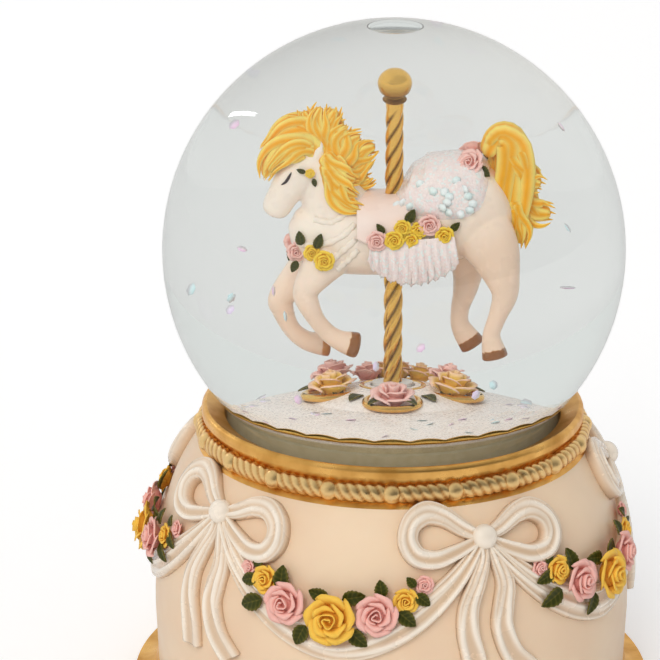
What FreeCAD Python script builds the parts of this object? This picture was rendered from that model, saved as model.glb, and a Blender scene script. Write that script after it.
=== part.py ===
"""Musical water globe: a prancing carousel horse turns inside a glass ball on a garlanded base."""
import FreeCAD, Part
import math
import os
import re
from types import SimpleNamespace

import Sketcher
from FreeCAD import Placement, Rotation, Vector

doc = FreeCAD.newDocument("CarouselMusicBox")

# Driving dimensions in millimetres and degrees
SIZES = {
    "globe_radius": 50.0,
    "glass_wall": 2.0,
    "globe_centre_lift": 43.0,
    "neck_radius": 36.6,
    "neck_depth": 2.0,
    "stopper_flange": 2.0,
    "stopper_rise": 10.5,
    "stopper_clearance": 0.1,
    "stopper_pocket_radius": 20.0,
    "membrane_lift": 6.5,
    "membrane_thickness": 2.5,
    "base_top_height": 60.0,
    "base_top_radius": 43.0,
    "shoulder_height": 45.0,
    "shoulder_radius": 50.3,
    "waist_height": 22.0,
    "waist_radius": 53.0,
    "base_bottom_radius": 52.5,
    "belly_curve": 99.3,
    "shoulder_curve": 38.4,
    "foot_height": 8.7,
    "foot_radius": 58.0,
    "foot_bead": 3.2,
    "foot_chamfer": 1.0,
    "foot_slope": 1.5,
    "felt_thickness": 1.0,
    "felt_width": 6.0,
    "felt_inset": 2.0,
    "recess_radius": 46.5,
    "ledge_radius": 42.5,
    "ledge_thickness": 4.5,
    "cavity_radius": 45.5,
    "cavity_shoulder_height": 38.0,
    "cavity_top_radius": 39.5,
    "deck_thickness": 4.0,
    "deck_bore": 30.0,
    "neck_clearance": 0.4,
    "collar_height": 8.6,
    "collar_rim_radius": 42.0,
    "collar_dish_depth": 2.1,
    "collar_dish_curve": 30.0,
    "collar_rim_band": 2.2,
    "rope_lift": 4.0,
    "rope_ring_radius": 41.8,
    "rope_tube": 1.6,
    "rope_seat_depth": 0.8,
    "rope_clearance": 0.1,
    "bead_radius": 2.0,
    "ground_radius": 33.2,
    "ground_edge_rise": 3.5,
    "ground_mound_radius": 13.0,
    "ground_mound_rise": 7.5,
    "ground_top_rise": 10.3,
    "chamber_radius": 19.0,
    "chamber_depth": 4.1,
    "edging_width": 0.7,
    "edging_height": 1.4,
    "cover_bottom_height": 12.0,
    "cover_thickness": 2.5,
    "cover_clearance": 0.3,
    "cover_screw_circle": 44.5,
    "screw_radius": 1.2,
    "screw_head_radius": 1.85,
    "screw_head_height": 1.2,
    "screw_reach": 3.5,
    "screw_clearance": 0.1,
    "sound_hole_circle": 34.0,
    "sound_hole_radius": 2.5,
    "bed_thickness": 2.5,
    "bed_left": 26.0,
    "bed_right": 37.0,
    "bed_front": 22.0,
    "bed_back": 27.0,
    "bed_round": 41.0,
    "bed_screw_circle": 23.5,
    "arbor_radius": 2.5,
    "arbor_bottom_height": 6.5,
    "arbor_headroom": 2.5,
    "running_clearance": 0.05,
    "key_hub_radius": 3.6,
    "key_hub_top_height": 11.0,
    "key_hub_bottom_height": 4.0,
    "key_wing_height": 6.5,
    "key_wing_radius": 5.0,
    "key_wing_offset": 7.4,
    "key_wing_thickness": 2.2,
    "key_hole_radius": 2.4,
    "barrel_lift": 0.6,
    "barrel_height": 13.4,
    "barrel_floor": 1.4,
    "barrel_cap_thickness": 2.0,
    "drive_module": 0.54,
    "face_width": 2.0,
    "pinion_width": 1.4,
    "spring_thickness": 0.35,
    "spring_gap": 0.5,
    "spring_margin": 0.7,
    "output_radius": 2.0,
    "bridge_height": 43.0,
    "bridge_thickness": 2.5,
    "bridge_width": 9.0,
    "pillar_offset": 17.2,
    "pillar_radius": 2.2,
    "carrier_radius": 16.0,
    "carrier_thickness": 3.4,
    "carrier_gap": 0.6,
    "magnet_radius": 2.8,
    "magnet_thickness": 2.4,
    "magnet_circle": 11.5,
    "bracket_gap": 1.2,
    "bracket_plate": 1.5,
    "bracket_depth": 10.0,
    "bracket_headroom": 4.0,
    "end_play": 0.6,
    "drum_radius": 5.0,
    "drum_length": 14.0,
    "drum_shaft_radius": 1.0,
    "drum_pin_radius": 0.2,
    "drum_pin_height": 0.45,
    "comb_gap": 0.15,
    "comb_thickness": 1.0,
    "comb_tooth_length": 6.6,
    "comb_slot": 0.25,
    "comb_plate_depth": 7.0,
    "train_module": 0.4,
    "train_width": 1.5,
    "worm_module": 0.5,
    "worm_pitch_radius": 1.9,
    "worm_wheel_width": 1.0,
    "worm_wheel_offset": 8.0,
    "worm_length": 9.5,
    "worm_shaft_radius": 0.7,
    "governor_shaft_radius": 0.8,
    "governor_plate": 1.5,
    "governor_arm_height": 43.5,
    "fan_height": 5.0,
    "fan_reach": 3.8,
    "fan_thickness": 0.4,
    "fan_bottom_lift": 4.0,
    "pin_radius": 1.0,
    "pin_length": 9.0,
    "pin_seat_depth": 1.5,
    "rotor_radius": 17.0,
    "rotor_thickness": 3.2,
    "rotor_lift": 0.6,
    "hub_radius": 3.2,
    "hub_clearance": 0.4,
    "hub_rise": 0.5,
    "pole_radius": 1.4,
    "pole_socket_depth": 3.0,
    "pole_top_lift": 28.0,
    "finial_radius": 3.0,
    "scroll_ring_radius": 4.4,
    "scroll_tube": 0.75,
    "scroll_circle": 9.5,
    "scroll_lift": 0.5,
    "globe_rose_radius": 3.0,
    "bow_drop": 6.0,
    "bow_reach": 10.6,
    "bow_loop_length": 9.0,
    "bow_loop_height": 5.6,
    "bow_ribbon": 3.3,
    "bow_thickness": 2.4,
    "bow_knot_radius": 2.9,
    "bow_tail_width": 3.4,
    "bow_tail_drop": 30.0,
    "swag_drop": 20.5,
    "swag_width": 7.0,
    "ribbon_thickness": 1.5,
    "swag_reach": 29.5,
    "skin_gap": 0.05,
    "leaf_length": 5.6,
    "leaf_width": 3.2,
    "leaf_thickness": 0.8,
    "saddle_thickness": 0.9,
    "girth_gap": 3.2,
    "saddle_hem": 2.0,
}

# Heights that follow from other sizes: what stands on the base rises and sinks with its top
HEIGHTS = {
    "neck_bottom_height": "base_top_height - neck_depth",
    "stopper_top_height": "base_top_height + stopper_rise",
    "membrane_bottom_height": "base_top_height + membrane_lift",
    "globe_centre_height": "base_top_height + globe_centre_lift",
    "rope_height": "base_top_height + rope_lift",
    "ground_edge_height": "stopper_top_height + ground_edge_rise",
    "ground_mound_height": "stopper_top_height + ground_mound_rise",
    "ground_top_height": "stopper_top_height + ground_top_rise",
    "chamber_ceiling_height": "stopper_top_height + chamber_depth",
    "pole_top_height": "globe_centre_height + pole_top_lift",
    "bow_height": "base_top_height - bow_drop",
    "bow_tail_bottom_height": "bow_height - bow_tail_drop",
    "swag_low_height": "bow_height - swag_drop",
}

# Counts: teeth are multiples that keep every mesh alike at each twelfth of a barrel turn
SECTORS = 5
BEADS = 20
FACE_TEETH = 48
PINION_TEETH = 16
WHEEL_TEETH = 48
GOVERNOR_TEETH = 16
WORM_WHEEL_TEETH = 20
WORM_STARTS = 2
COMB_TEETH = 18
DRUM_PIN_ROWS = 2
SPRING_HALF_TURNS = 13
MAGNETS = 4
COVER_SCREWS = 4
BED_SCREWS = 3
SOUND_HOLES = 8

# Gear tooth proportions in modules, with ample backlash
ADDENDUM = 0.8
DEDENDUM = 1.1
ROOT_WIDTH = 1.45
TIP_WIDTH = 0.7

# Radius of the foot's hollow and of its bead as shares of their chords
COVE_BEND = 1.0525
BEAD_BEND = 0.7

SECTOR_STEP = 360.0 / SECTORS
GARLAND_ANGLE = -12.5

sheet = doc.addObject("Spreadsheet::Sheet", "Sizes")
for row, (alias, size) in enumerate(SIZES.items(), start=1):
    sheet.set(f"A{row}", alias.replace("_", " "))
    sheet.set(f"B{row}", str(size))
    sheet.setAlias(f"B{row}", alias)
doc.recompute()
NODES = []


def formula(text):
    """Point every size named in the text at its cell in the sheet, and spell out the named heights."""
    def spelled(word):
        if word[0] in HEIGHTS:
            return f"({formula(HEIGHTS[word[0]])})"
        return f"Sizes.{word[0]}" if word[0] in SIZES else word[0]
    return re.sub(r"[a-z]\w+", spelled, text)


def bind(thing, **formulas):
    """Tie properties of an object to sizes; a double underscore stands for a dot."""
    for name, text in formulas.items():
        thing.setExpression(name.replace("__", "."), formula(text))


def number(text):
    """Value of a formula now."""
    return float(sheet.evalExpression(formula(text)))


S = SimpleNamespace(**{name: number(name) for name in (*SIZES, *HEIGHTS)})


def node(thing, label):
    """Name an object as one piece to be written out."""
    thing.Label = label
    NODES.append(thing)
    return thing


def place(thing, x="0", y="0", z="0"):
    """Bind an object's position to formulas."""
    bind(thing, Placement__Base__x=x, Placement__Base__y=y, Placement__Base__z=z)
    return thing


# Heights and offsets that several pieces share
COVER_TOP = "(cover_bottom_height + cover_thickness)"
BED_TOP = f"({COVER_TOP} + bed_thickness)"
BARREL_BASE = f"({BED_TOP} + barrel_lift)"
BARREL_RIM = f"({BARREL_BASE} + barrel_height)"
FACE_RADIUS = f"(drive_module * {FACE_TEETH} / 2)"
BARREL_OUTER = f"({FACE_RADIUS} + face_width / 2)"
BARREL_INNER = f"({FACE_RADIUS} - face_width / 2)"
CAP_BOTTOM = f"({BARREL_RIM} - barrel_cap_thickness)"
DRUM_Z = f"({BARREL_RIM} + {DEDENDUM} * drive_module + drive_module * {PINION_TEETH} / 2)"
BRACKET_NEAR = f"({BARREL_OUTER} + bracket_gap)"
DRUM_NEAR = f"({BRACKET_NEAR} + bracket_plate + end_play)"
BRACKET_FAR = f"({DRUM_NEAR} + drum_length + end_play)"
WHEEL_X = f"({BRACKET_FAR} + bracket_plate + end_play)"
GOVERNOR_Y = f"(train_module * ({WHEEL_TEETH} + {GOVERNOR_TEETH}) / 2)"
WORM_X = f"({BRACKET_NEAR} + bracket_plate + worm_wheel_offset)"
WORM_Y = f"({GOVERNOR_Y} + worm_module * {WORM_WHEEL_TEETH} / 2 + worm_pitch_radius)"
GOVERNOR_NEAR = f"({WORM_X} - fan_reach - end_play - governor_plate)"
CARRIER_TOP = "(membrane_bottom_height - carrier_gap)"
CARRIER_BOTTOM = f"({CARRIER_TOP} - carrier_thickness)"
MEMBRANE_TOP = "(membrane_bottom_height + membrane_thickness)"
ROTOR_BOTTOM = f"({MEMBRANE_TOP} + rotor_lift)"
PIN_TOP = f"({MEMBRANE_TOP} + pin_length)"
HUB_TOP = "(ground_top_height + hub_rise)"
POLE_BOTTOM = f"({HUB_TOP} - pole_socket_depth)"
NECK_INNER = "(neck_radius - glass_wall)"
SCREW_HOLE = "(screw_radius + screw_clearance)"
STOPPER_BOTTOM = "(neck_bottom_height - stopper_flange)"
DECK_BOTTOM = f"({STOPPER_BOTTOM} - deck_thickness)"


def plane(body, role):
    """Origin plane or axis of a body by its role."""
    return next(item for item in body.Origin.OriginFeatures if item.Role == role)


def new_body(label):
    return node(doc.addObject("PartDesign::Body", label), label)


def outline(body, role, points, curves=None):
    """Closed sketch through bound points; curves maps a span's index to an arc's radius formula.

    A positive radius bulges to the right of the direction of travel, a leading minus to the left.
    """
    curves = curves or {}
    sketch = body.newObject("Sketcher::SketchObject", f"{body.Name}_outline")
    sketch.AttachmentSupport = [(plane(body, role), "")]
    sketch.MapMode = "FlatFace"
    corners = [Vector(number(across), number(up), 0) for across, up in points]
    count = len(corners)
    starts = []
    ends = []
    for index, corner in enumerate(corners):
        following = corners[(index + 1) % count]
        if index not in curves:
            geometry = sketch.addGeometry(Part.LineSegment(corner, following), False)
            starts.append((geometry, 1))
            ends.append((geometry, 2))
            continue
        text = curves[index]
        side = -1.0 if text.startswith("-") else 1.0
        radius = number(text.lstrip("-"))
        chord = following - corner
        right = Vector(chord.y, -chord.x, 0).normalize() * side
        rise = radius - math.sqrt(radius ** 2 - chord.Length ** 2 / 4)
        middle = (corner + following) * 0.5 + right * rise
        geometry = sketch.addGeometry(Part.Arc(corner, middle, following), False)
        first, last = (1, 2) if side > 0 else (2, 1)
        starts.append((geometry, first))
        ends.append((geometry, last))
        tie = sketch.addConstraint(Sketcher.Constraint("Radius", geometry, radius))
        sketch.setExpression(f"Constraints[{tie}]", formula(text.lstrip("-")))
    for index, (across, up) in enumerate(points):
        sketch.addConstraint(Sketcher.Constraint("Coincident", *ends[index - 1], *starts[index]))
        for axis, text, value in (("X", across, corners[index].x), ("Y", up, corners[index].y)):
            tie = sketch.addConstraint(
                Sketcher.Constraint(f"Distance{axis}", -1, 1, *starts[index], value))
            sketch.setExpression(f"Constraints[{tie}]", formula(text))
    return sketch


def circle_sketch(body, x, y, radius):
    """Sketch of one circle on the body's ground plane."""
    sketch = body.newObject("Sketcher::SketchObject", f"{body.Name}_circle")
    sketch.AttachmentSupport = [(plane(body, "XY_Plane"), "")]
    sketch.MapMode = "FlatFace"
    centre = Vector(number(x), number(y), 0)
    ring = sketch.addGeometry(Part.Circle(centre, Vector(0, 0, 1), number(radius)), False)
    ties = [("DistanceX", -1, 1, ring, 3, centre.x), ("DistanceY", -1, 1, ring, 3, centre.y),
            ("Radius", ring, number(radius))]
    for tie, text in zip(ties, (x, y, radius)):
        index = sketch.addConstraint(Sketcher.Constraint(*tie))
        sketch.setExpression(f"Constraints[{index}]", formula(text))
    return sketch


def turned(label, points, curves=None):
    """Body of revolution about the upright axis from a half outline of (radius, height) formulas."""
    body = new_body(label)
    sketch = outline(body, "XZ_Plane", points, curves)
    turn = body.newObject("PartDesign::Revolution", f"{label}_turn")
    turn.Profile = sketch
    turn.ReferenceAxis = (sketch, ["V_Axis"])
    turn.Angle = 360.0
    doc.recompute()
    return body


def padded(body, sketch, length, lift="0"):
    """Pad a sketch upward by a formula's length, starting at a lift above the ground plane."""
    bind(sketch, AttachmentOffset__Base__z=lift)
    pad = body.newObject("PartDesign::Pad", f"{body.Name}_pad")
    pad.Profile = sketch
    bind(pad, Length=length)
    doc.recompute()
    return pad


def drilled(body, sketch):
    """Cut a sketch through the whole body, both ways."""
    pocket = body.newObject("PartDesign::Pocket", f"{body.Name}_pocket")
    pocket.Profile = sketch
    pocket.Type = "ThroughAll"
    pocket.Midplane = True
    before = body.Shape.Volume
    doc.recompute()
    if body.Shape.Volume >= before:
        raise RuntimeError(f"{body.Label}: a hole removed nothing")
    return pocket


def around(body, feature, count):
    """Repeat a feature evenly about the upright axis."""
    pattern = body.newObject("PartDesign::PolarPattern", f"{body.Name}_pattern")
    pattern.Originals = [feature]
    pattern.Axis = (plane(body, "Z_Axis"), [""])
    pattern.Angle = 360.0
    pattern.Occurrences = count
    body.Tip = pattern
    doc.recompute()
    return pattern


def cylinder(radius, length, x="0", y="0", z="0", along="z"):
    """Bound cylinder standing on a point, along x, y or z."""
    rod = doc.addObject("Part::Cylinder", "rod")
    bind(rod, Radius=radius, Height=length)
    turn = {"x": Rotation(Vector(0, 1, 0), 90), "y": Rotation(Vector(1, 0, 0), -90), "z": Rotation()}
    rod.Placement = Placement(Vector(), turn[along])
    return place(rod, x, y, z)


def block(length, width, height, x, y, z):
    """Bound box from its low corner."""
    box = doc.addObject("Part::Box", "block")
    bind(box, Length=length, Width=width, Height=height)
    return place(box, x, y, z)


def fused(*things):
    join = doc.addObject("Part::MultiFuse", "join")
    join.Shapes = list(things)
    return join


def without(base, *tools):
    """Base with the tools cut away."""
    cut = doc.addObject("Part::Cut", "cut")
    cut.Base = base
    cut.Tool = tools[0] if len(tools) == 1 else fused(*tools)
    return cut


def group(label, things):
    """Several equal solids under one name."""
    compound = doc.addObject("Part::Compound", label)
    compound.Links = list(things)
    return node(compound, label)


def shaped(label, shape):
    """Piece whose shape is worked out by the functions below."""
    feature = doc.addObject("Part::Feature", label)
    feature.Shape = shape
    feature.Placement = shape.Placement
    return node(feature, label)


def ring_points(count, radius, start=0.0):
    """Formulas for points on a circle of a bound radius."""
    angles = [math.radians(start + 360.0 * step / count) for step in range(count)]
    return [(f"{radius} * {math.cos(a):.9f}", f"{radius} * {math.sin(a):.9f}") for a in angles]


def gear(label, module, teeth, width, bore, phase=0.0):
    """Spur gear about a lying axis: its first tooth points down before the phase turn."""
    body = new_body(label)
    pitch = f"{module} * {teeth} / 2"
    root = f"({pitch} - {DEDENDUM} * {module})"
    padded(body, circle_sketch(body, "0", "0", root), width)
    tooth = outline(body, "XY_Plane", [
        (f"{root} - 0.2 * {module}", f"-{ROOT_WIDTH} / 2 * {module}"),
        (f"{pitch} + {ADDENDUM} * {module}", f"-{TIP_WIDTH} / 2 * {module}"),
        (f"{pitch} + {ADDENDUM} * {module}", f"{TIP_WIDTH} / 2 * {module}"),
        (f"{root} - 0.2 * {module}", f"{ROOT_WIDTH} / 2 * {module}")])
    around(body, padded(body, tooth, width), teeth)
    drilled(body, circle_sketch(body, "0", "0", bore))
    body.Placement = Placement(Vector(), Rotation(Vector(0, 1, 0), 90) * Rotation(Vector(0, 0, 1), phase))
    return body


# Glass ball, its stopper and the snowy ground inside
def build_globe():
    outer_foot = "globe_centre_height - sqrt(globe_radius ^ 2 - neck_radius ^ 2)"
    inner_foot = f"globe_centre_height - sqrt((globe_radius - glass_wall) ^ 2 - {NECK_INNER} ^ 2)"
    turned("glass_globe", [
        (NECK_INNER, "neck_bottom_height"),
        ("neck_radius", "neck_bottom_height"),
        ("neck_radius", outer_foot),
        ("globe_radius", "globe_centre_height"),
        ("0", "globe_centre_height + globe_radius"),
        ("0", "globe_centre_height + globe_radius - glass_wall"),
        ("globe_radius - glass_wall", "globe_centre_height"),
        (NECK_INNER, inner_foot)],
        {2: "globe_radius", 3: "globe_radius",
         5: "-(globe_radius - glass_wall)", 6: "-(globe_radius - glass_wall)"})
    plug = f"{NECK_INNER} - stopper_clearance"
    turned("globe_stopper", [
        ("stopper_pocket_radius", STOPPER_BOTTOM),
        ("neck_radius", STOPPER_BOTTOM),
        ("neck_radius", "neck_bottom_height"),
        (plug, "neck_bottom_height"),
        (plug, "stopper_top_height"),
        ("stopper_pocket_radius", "stopper_top_height"),
        ("stopper_pocket_radius", MEMBRANE_TOP),
        ("pin_radius", MEMBRANE_TOP),
        ("pin_radius", f"{MEMBRANE_TOP} - pin_seat_depth"),
        ("0", f"{MEMBRANE_TOP} - pin_seat_depth"),
        ("0", "membrane_bottom_height"),
        ("stopper_pocket_radius", "membrane_bottom_height")])
    node(cylinder("pin_radius", "pin_length + pin_seat_depth", z=f"{MEMBRANE_TOP} - pin_seat_depth"),
         "pivot_pin")
    turned("snow_ground", [
        ("chamber_radius", "stopper_top_height"),
        ("ground_radius", "stopper_top_height"),
        ("ground_radius", "ground_edge_height"),
        ("ground_mound_radius", "ground_mound_height"),
        ("hub_radius + hub_clearance", "ground_top_height"),
        ("hub_radius + hub_clearance", "chamber_ceiling_height"),
        ("chamber_radius", "chamber_ceiling_height")],
        {2: "ground_radius * 2", 3: "ground_mound_radius * 1.5"})
    turned("ground_edging", [
        ("ground_radius", "ground_edge_height - edging_height"),
        ("ground_radius + edging_width", "ground_edge_height - edging_height"),
        ("ground_radius + edging_width", "ground_edge_height"),
        ("ground_radius", "ground_edge_height")])


# Cast base, gilt collar, beaded rope, gilt foot and felt
def build_base():
    shell = turned("base_shell", [
        ("recess_radius", "foot_height"),
        ("base_bottom_radius", "foot_height"),
        ("waist_radius", "waist_height"),
        ("shoulder_radius", "shoulder_height"),
        ("base_top_radius", "base_top_height"),
        ("neck_radius + neck_clearance", "base_top_height"),
        ("neck_radius + neck_clearance", STOPPER_BOTTOM),
        ("deck_bore", STOPPER_BOTTOM),
        ("deck_bore", DECK_BOTTOM),
        ("cavity_top_radius", DECK_BOTTOM),
        ("cavity_radius", "cavity_shoulder_height"),
        ("cavity_radius", f"{COVER_TOP} + ledge_thickness"),
        ("ledge_radius", f"{COVER_TOP} + ledge_thickness"),
        ("ledge_radius", COVER_TOP),
        ("recess_radius", COVER_TOP)],
        {2: "belly_curve", 3: "shoulder_curve"})
    hole = circle_sketch(shell, "cover_screw_circle", "0", SCREW_HOLE)
    bind(hole, AttachmentOffset__Base__z=COVER_TOP)
    pocket = shell.newObject("PartDesign::Pocket", "cover_screw_hole")
    pocket.Profile = hole
    pocket.Reversed = True
    bind(pocket, Length="screw_reach + screw_clearance")
    around(shell, pocket, COVER_SCREWS)
    seat = "(rope_ring_radius - rope_seat_depth)"
    rim_top = "(base_top_height + collar_height)"
    bore = "neck_radius + neck_clearance"
    turned("globe_collar", [
        (bore, "base_top_height"),
        ("base_top_radius", "base_top_height"),
        (seat, "rope_height - bead_radius - rope_clearance"),
        (seat, "rope_height + bead_radius + rope_clearance"),
        ("collar_rim_radius", f"{rim_top} - collar_rim_band"),
        ("collar_rim_radius", f"{rim_top} - collar_rim_band / 2"),
        ("collar_rim_radius - collar_rim_band / 2", rim_top),
        (bore, f"{rim_top} - collar_dish_depth")],
        {5: "collar_rim_band / 2", 6: "-collar_dish_curve"})
    rope = turned("collar_rope", [
        (seat, "rope_height - sqrt(rope_tube ^ 2 - rope_seat_depth ^ 2)"),
        ("rope_ring_radius + rope_tube", "rope_height"),
        (seat, "rope_height + sqrt(rope_tube ^ 2 - rope_seat_depth ^ 2)")],
        {0: "rope_tube", 1: "rope_tube"})
    bead = rope.newObject("PartDesign::AdditiveSphere", "rope_bead")
    bind(bead, Radius="bead_radius", Placement__Base__x="rope_ring_radius", Placement__Base__z="rope_height")
    around(rope, bead, BEADS)
    trim = rope.newObject("PartDesign::SubtractiveCylinder", "rope_seat")
    bind(trim, Radius=seat, Height="base_top_height + collar_height")
    doc.recompute()
    rim = "(foot_height - foot_bead)"
    slope = "sqrt((foot_radius - base_bottom_radius) ^ 2 + foot_slope ^ 2)"
    turned("foot_rim", [
        ("recess_radius", "felt_thickness"),
        ("foot_radius - foot_chamfer", "felt_thickness"),
        ("foot_radius", "felt_thickness + foot_chamfer"),
        ("foot_radius", f"{rim} - foot_slope"),
        ("base_bottom_radius", rim),
        ("base_bottom_radius", "foot_height"),
        ("recess_radius", "foot_height")],
        {3: f"-{COVE_BEND} * {slope}", 4: f"{BEAD_BEND} * foot_bead"})
    felt_edge = "(foot_radius - felt_inset)"
    turned("felt_ring", [
        (f"{felt_edge} - felt_width", "0"),
        (felt_edge, "0"),
        (felt_edge, "felt_thickness"),
        (f"{felt_edge} - felt_width", "felt_thickness")])


# Cover under the base, its screws and the movement's bedplate
def screws(label, spots, top, length):
    """Pan-head screws that point up: the head hangs below the top of the head, at the given height."""
    made = []
    for x, y in spots:
        head = cylinder("screw_head_radius", "screw_head_height", x, y, f"{top} - screw_head_height")
        shank = cylinder("screw_radius", length, x, y, top)
        made.append(fused(head, shank))
    return group(label, made)


def build_cover():
    cover_rim = "(recess_radius - cover_clearance)"
    cover = turned("base_cover", [
        ("arbor_radius + cover_clearance", "cover_bottom_height"),
        (cover_rim, "cover_bottom_height"),
        (cover_rim, COVER_TOP),
        ("arbor_radius + cover_clearance", COVER_TOP)])
    for circle, radius, count in (("cover_screw_circle", SCREW_HOLE, COVER_SCREWS),
                                  ("sound_hole_circle", "sound_hole_radius", SOUND_HOLES)):
        around(cover, drilled(cover, circle_sketch(cover, circle, "0", radius)), count)
    for x, y in ring_points(BED_SCREWS, "bed_screw_circle", 90.0):
        drilled(cover, circle_sketch(cover, x, y, SCREW_HOLE))
    cover.Tip = cover.Group[-1]
    spots = ring_points(COVER_SCREWS, "cover_screw_circle")
    screws("cover_screws", spots, "cover_bottom_height", "cover_thickness + screw_reach")
    bed_spots = ring_points(BED_SCREWS, "bed_screw_circle", 90.0)
    screws("movement_screws", bed_spots, "cover_bottom_height", "cover_thickness + bed_thickness")
    slab = block("bed_left + bed_right", "bed_front + bed_back", "bed_thickness",
                 "-bed_left", "-bed_front", COVER_TOP)
    disc = cylinder("bed_round", "bed_thickness", z=COVER_TOP)
    trimmed = doc.addObject("Part::Common", "bed_outline")
    trimmed.Base = slab
    trimmed.Tool = disc
    rest = block("drum_length", "comb_plate_depth", f"{DRUM_Z} - comb_thickness / 2 - {BED_TOP}",
                 DRUM_NEAR, COMB_BACK, BED_TOP)
    holes = [cylinder(SCREW_HOLE, "bed_thickness", x, y, COVER_TOP) for x, y in bed_spots]
    bush = cylinder("arbor_radius + running_clearance", "bed_thickness", z=COVER_TOP)
    taps = [cylinder("screw_radius", "screw_reach", x, y, f"{DRUM_Z} - comb_thickness / 2 - screw_reach")
            for x, y in comb_screw_spots()]
    node(without(fused(trimmed, rest), bush, *holes, *taps), "movement_bedplate")


# Winding key and arbor
def build_winder():
    bottom, top = "key_hub_bottom_height", "key_hub_top_height"
    hub = cylinder("key_hub_radius", f"{top} - {bottom}", z=bottom)
    wings = []
    holes = [cylinder("arbor_radius", f"{top} - arbor_bottom_height", z="arbor_bottom_height")]
    for side in ("-", ""):
        spot = (f"{side}key_wing_offset", "-key_wing_thickness / 2", "key_wing_height")
        wings.append(cylinder("key_wing_radius", "key_wing_thickness", *spot, along="y"))
        holes.append(cylinder("key_hole_radius", "key_wing_thickness", *spot, along="y"))
    node(without(fused(hub, *wings), *holes), "winding_key")
    node(cylinder("arbor_radius", f"{CAP_BOTTOM} - arbor_headroom - arbor_bottom_height",
                  z="arbor_bottom_height"), "winding_arbor")


# Spring barrel with face teeth on its rim, cap, spring and the shaft up to the magnets
def spiral_strip():
    """Flat spiral spring: half circles about two centres, each half turn half a pitch wider."""
    innermost = S.arbor_radius + S.spring_gap
    outermost = number(BARREL_INNER) - S.spring_margin - S.spring_thickness
    pitch = 2 * (outermost - innermost) / (SPRING_HALF_TURNS - 1)

    def edges(extra):
        line = []
        for turn in range(SPRING_HALF_TURNS):
            radius = innermost + turn * pitch / 2 + extra
            middle = 0.0 if turn % 2 == 0 else pitch / 2
            side = 1.0 if turn % 2 == 0 else -1.0
            line.append(Part.Arc(Vector(middle + side * radius, 0, 0), Vector(middle, side * radius, 0),
                                 Vector(middle - side * radius, 0, 0)).toShape())
        return line
    inner = edges(0.0)
    outer = edges(S.spring_thickness)
    ends = [Part.makeLine(inner[0].Vertexes[0].Point, outer[0].Vertexes[0].Point),
            Part.makeLine(inner[-1].Vertexes[1].Point, outer[-1].Vertexes[1].Point)]
    wire = Part.Wire(Part.__sortEdges__(inner + outer + ends))
    floor = number(BARREL_BASE) + S.barrel_floor
    height = number(CAP_BOTTOM) - floor - 2 * S.spring_margin
    strip = Part.Face(wire).extrude(Vector(0, 0, height))
    strip.translate(Vector(0, 0, floor + S.spring_margin))
    return strip


def magnet_spots():
    return ring_points(MAGNETS, "magnet_circle", 45.0)


def build_barrel():
    barrel = turned("spring_barrel", [
        ("arbor_radius + running_clearance", BARREL_BASE),
        (BARREL_OUTER, BARREL_BASE),
        (BARREL_OUTER, BARREL_RIM),
        (BARREL_INNER, BARREL_RIM),
        (BARREL_INNER, f"{BARREL_BASE} + barrel_floor"),
        ("arbor_radius + running_clearance", f"{BARREL_BASE} + barrel_floor")])
    tooth = outline(barrel, "YZ_Plane", [
        (f"-{ROOT_WIDTH} / 2 * drive_module", BARREL_RIM),
        (f"{ROOT_WIDTH} / 2 * drive_module", BARREL_RIM),
        (f"{TIP_WIDTH} / 2 * drive_module", f"{BARREL_RIM} + ({ADDENDUM} + {DEDENDUM}) * drive_module"),
        (f"-{TIP_WIDTH} / 2 * drive_module", f"{BARREL_RIM} + ({ADDENDUM} + {DEDENDUM}) * drive_module")])
    margin = "face_width * 0.1"
    pad = padded(barrel, tooth, f"face_width - 2 * {margin}", f"{BARREL_INNER} + {margin}")
    around(barrel, pad, FACE_TEETH)
    barrel.Placement = Placement(Vector(), Rotation(Vector(0, 0, 1), 180.0 / FACE_TEETH))
    cap = cylinder(BARREL_INNER, "barrel_cap_thickness", z=CAP_BOTTOM)
    node(without(cap, cylinder("output_radius", "barrel_cap_thickness", z=CAP_BOTTOM)), "barrel_cap")
    shaped("mainspring", spiral_strip())
    node(cylinder("output_radius", f"{CARRIER_TOP} - {CAP_BOTTOM}", z=CAP_BOTTOM), "output_shaft")
    disc = cylinder("carrier_radius", "carrier_thickness", z=CARRIER_BOTTOM)
    bore = cylinder("output_radius", "carrier_thickness", z=CARRIER_BOTTOM)
    low = f"{CARRIER_TOP} - magnet_thickness"
    pockets = [cylinder("magnet_radius", "magnet_thickness", x, y, low) for x, y in magnet_spots()]
    node(without(disc, bore, *pockets), "magnet_carrier")
    group("drive_magnets",
          [cylinder("magnet_radius", "magnet_thickness", x, y, low) for x, y in magnet_spots()])
    reach = "pillar_offset + pillar_radius"
    bar = block("bridge_width", f"2 * ({reach})", "bridge_thickness",
                "-bridge_width / 2", f"-({reach})", "bridge_height")
    pillars = [cylinder("pillar_radius", f"bridge_height - {BED_TOP}", y=f"{side}pillar_offset", z=BED_TOP)
               for side in ("-", "")]
    bearing = cylinder("output_radius + running_clearance", "bridge_thickness", z="bridge_height")
    node(without(fused(bar, *pillars), bearing), "shaft_bridge")


# Pinned cylinder, its bracket, wheels and the comb
COMB_TIP = "(drum_radius + drum_pin_height + comb_gap)"
COMB_BACK = f"(-({COMB_TIP} + comb_tooth_length + comb_plate_depth))"


def comb_screw_spots():
    y = f"{COMB_BACK} + comb_plate_depth / 2"
    return [(f"{DRUM_NEAR} + drum_length * {share}", y) for share in (0.2, 0.8)]


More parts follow.
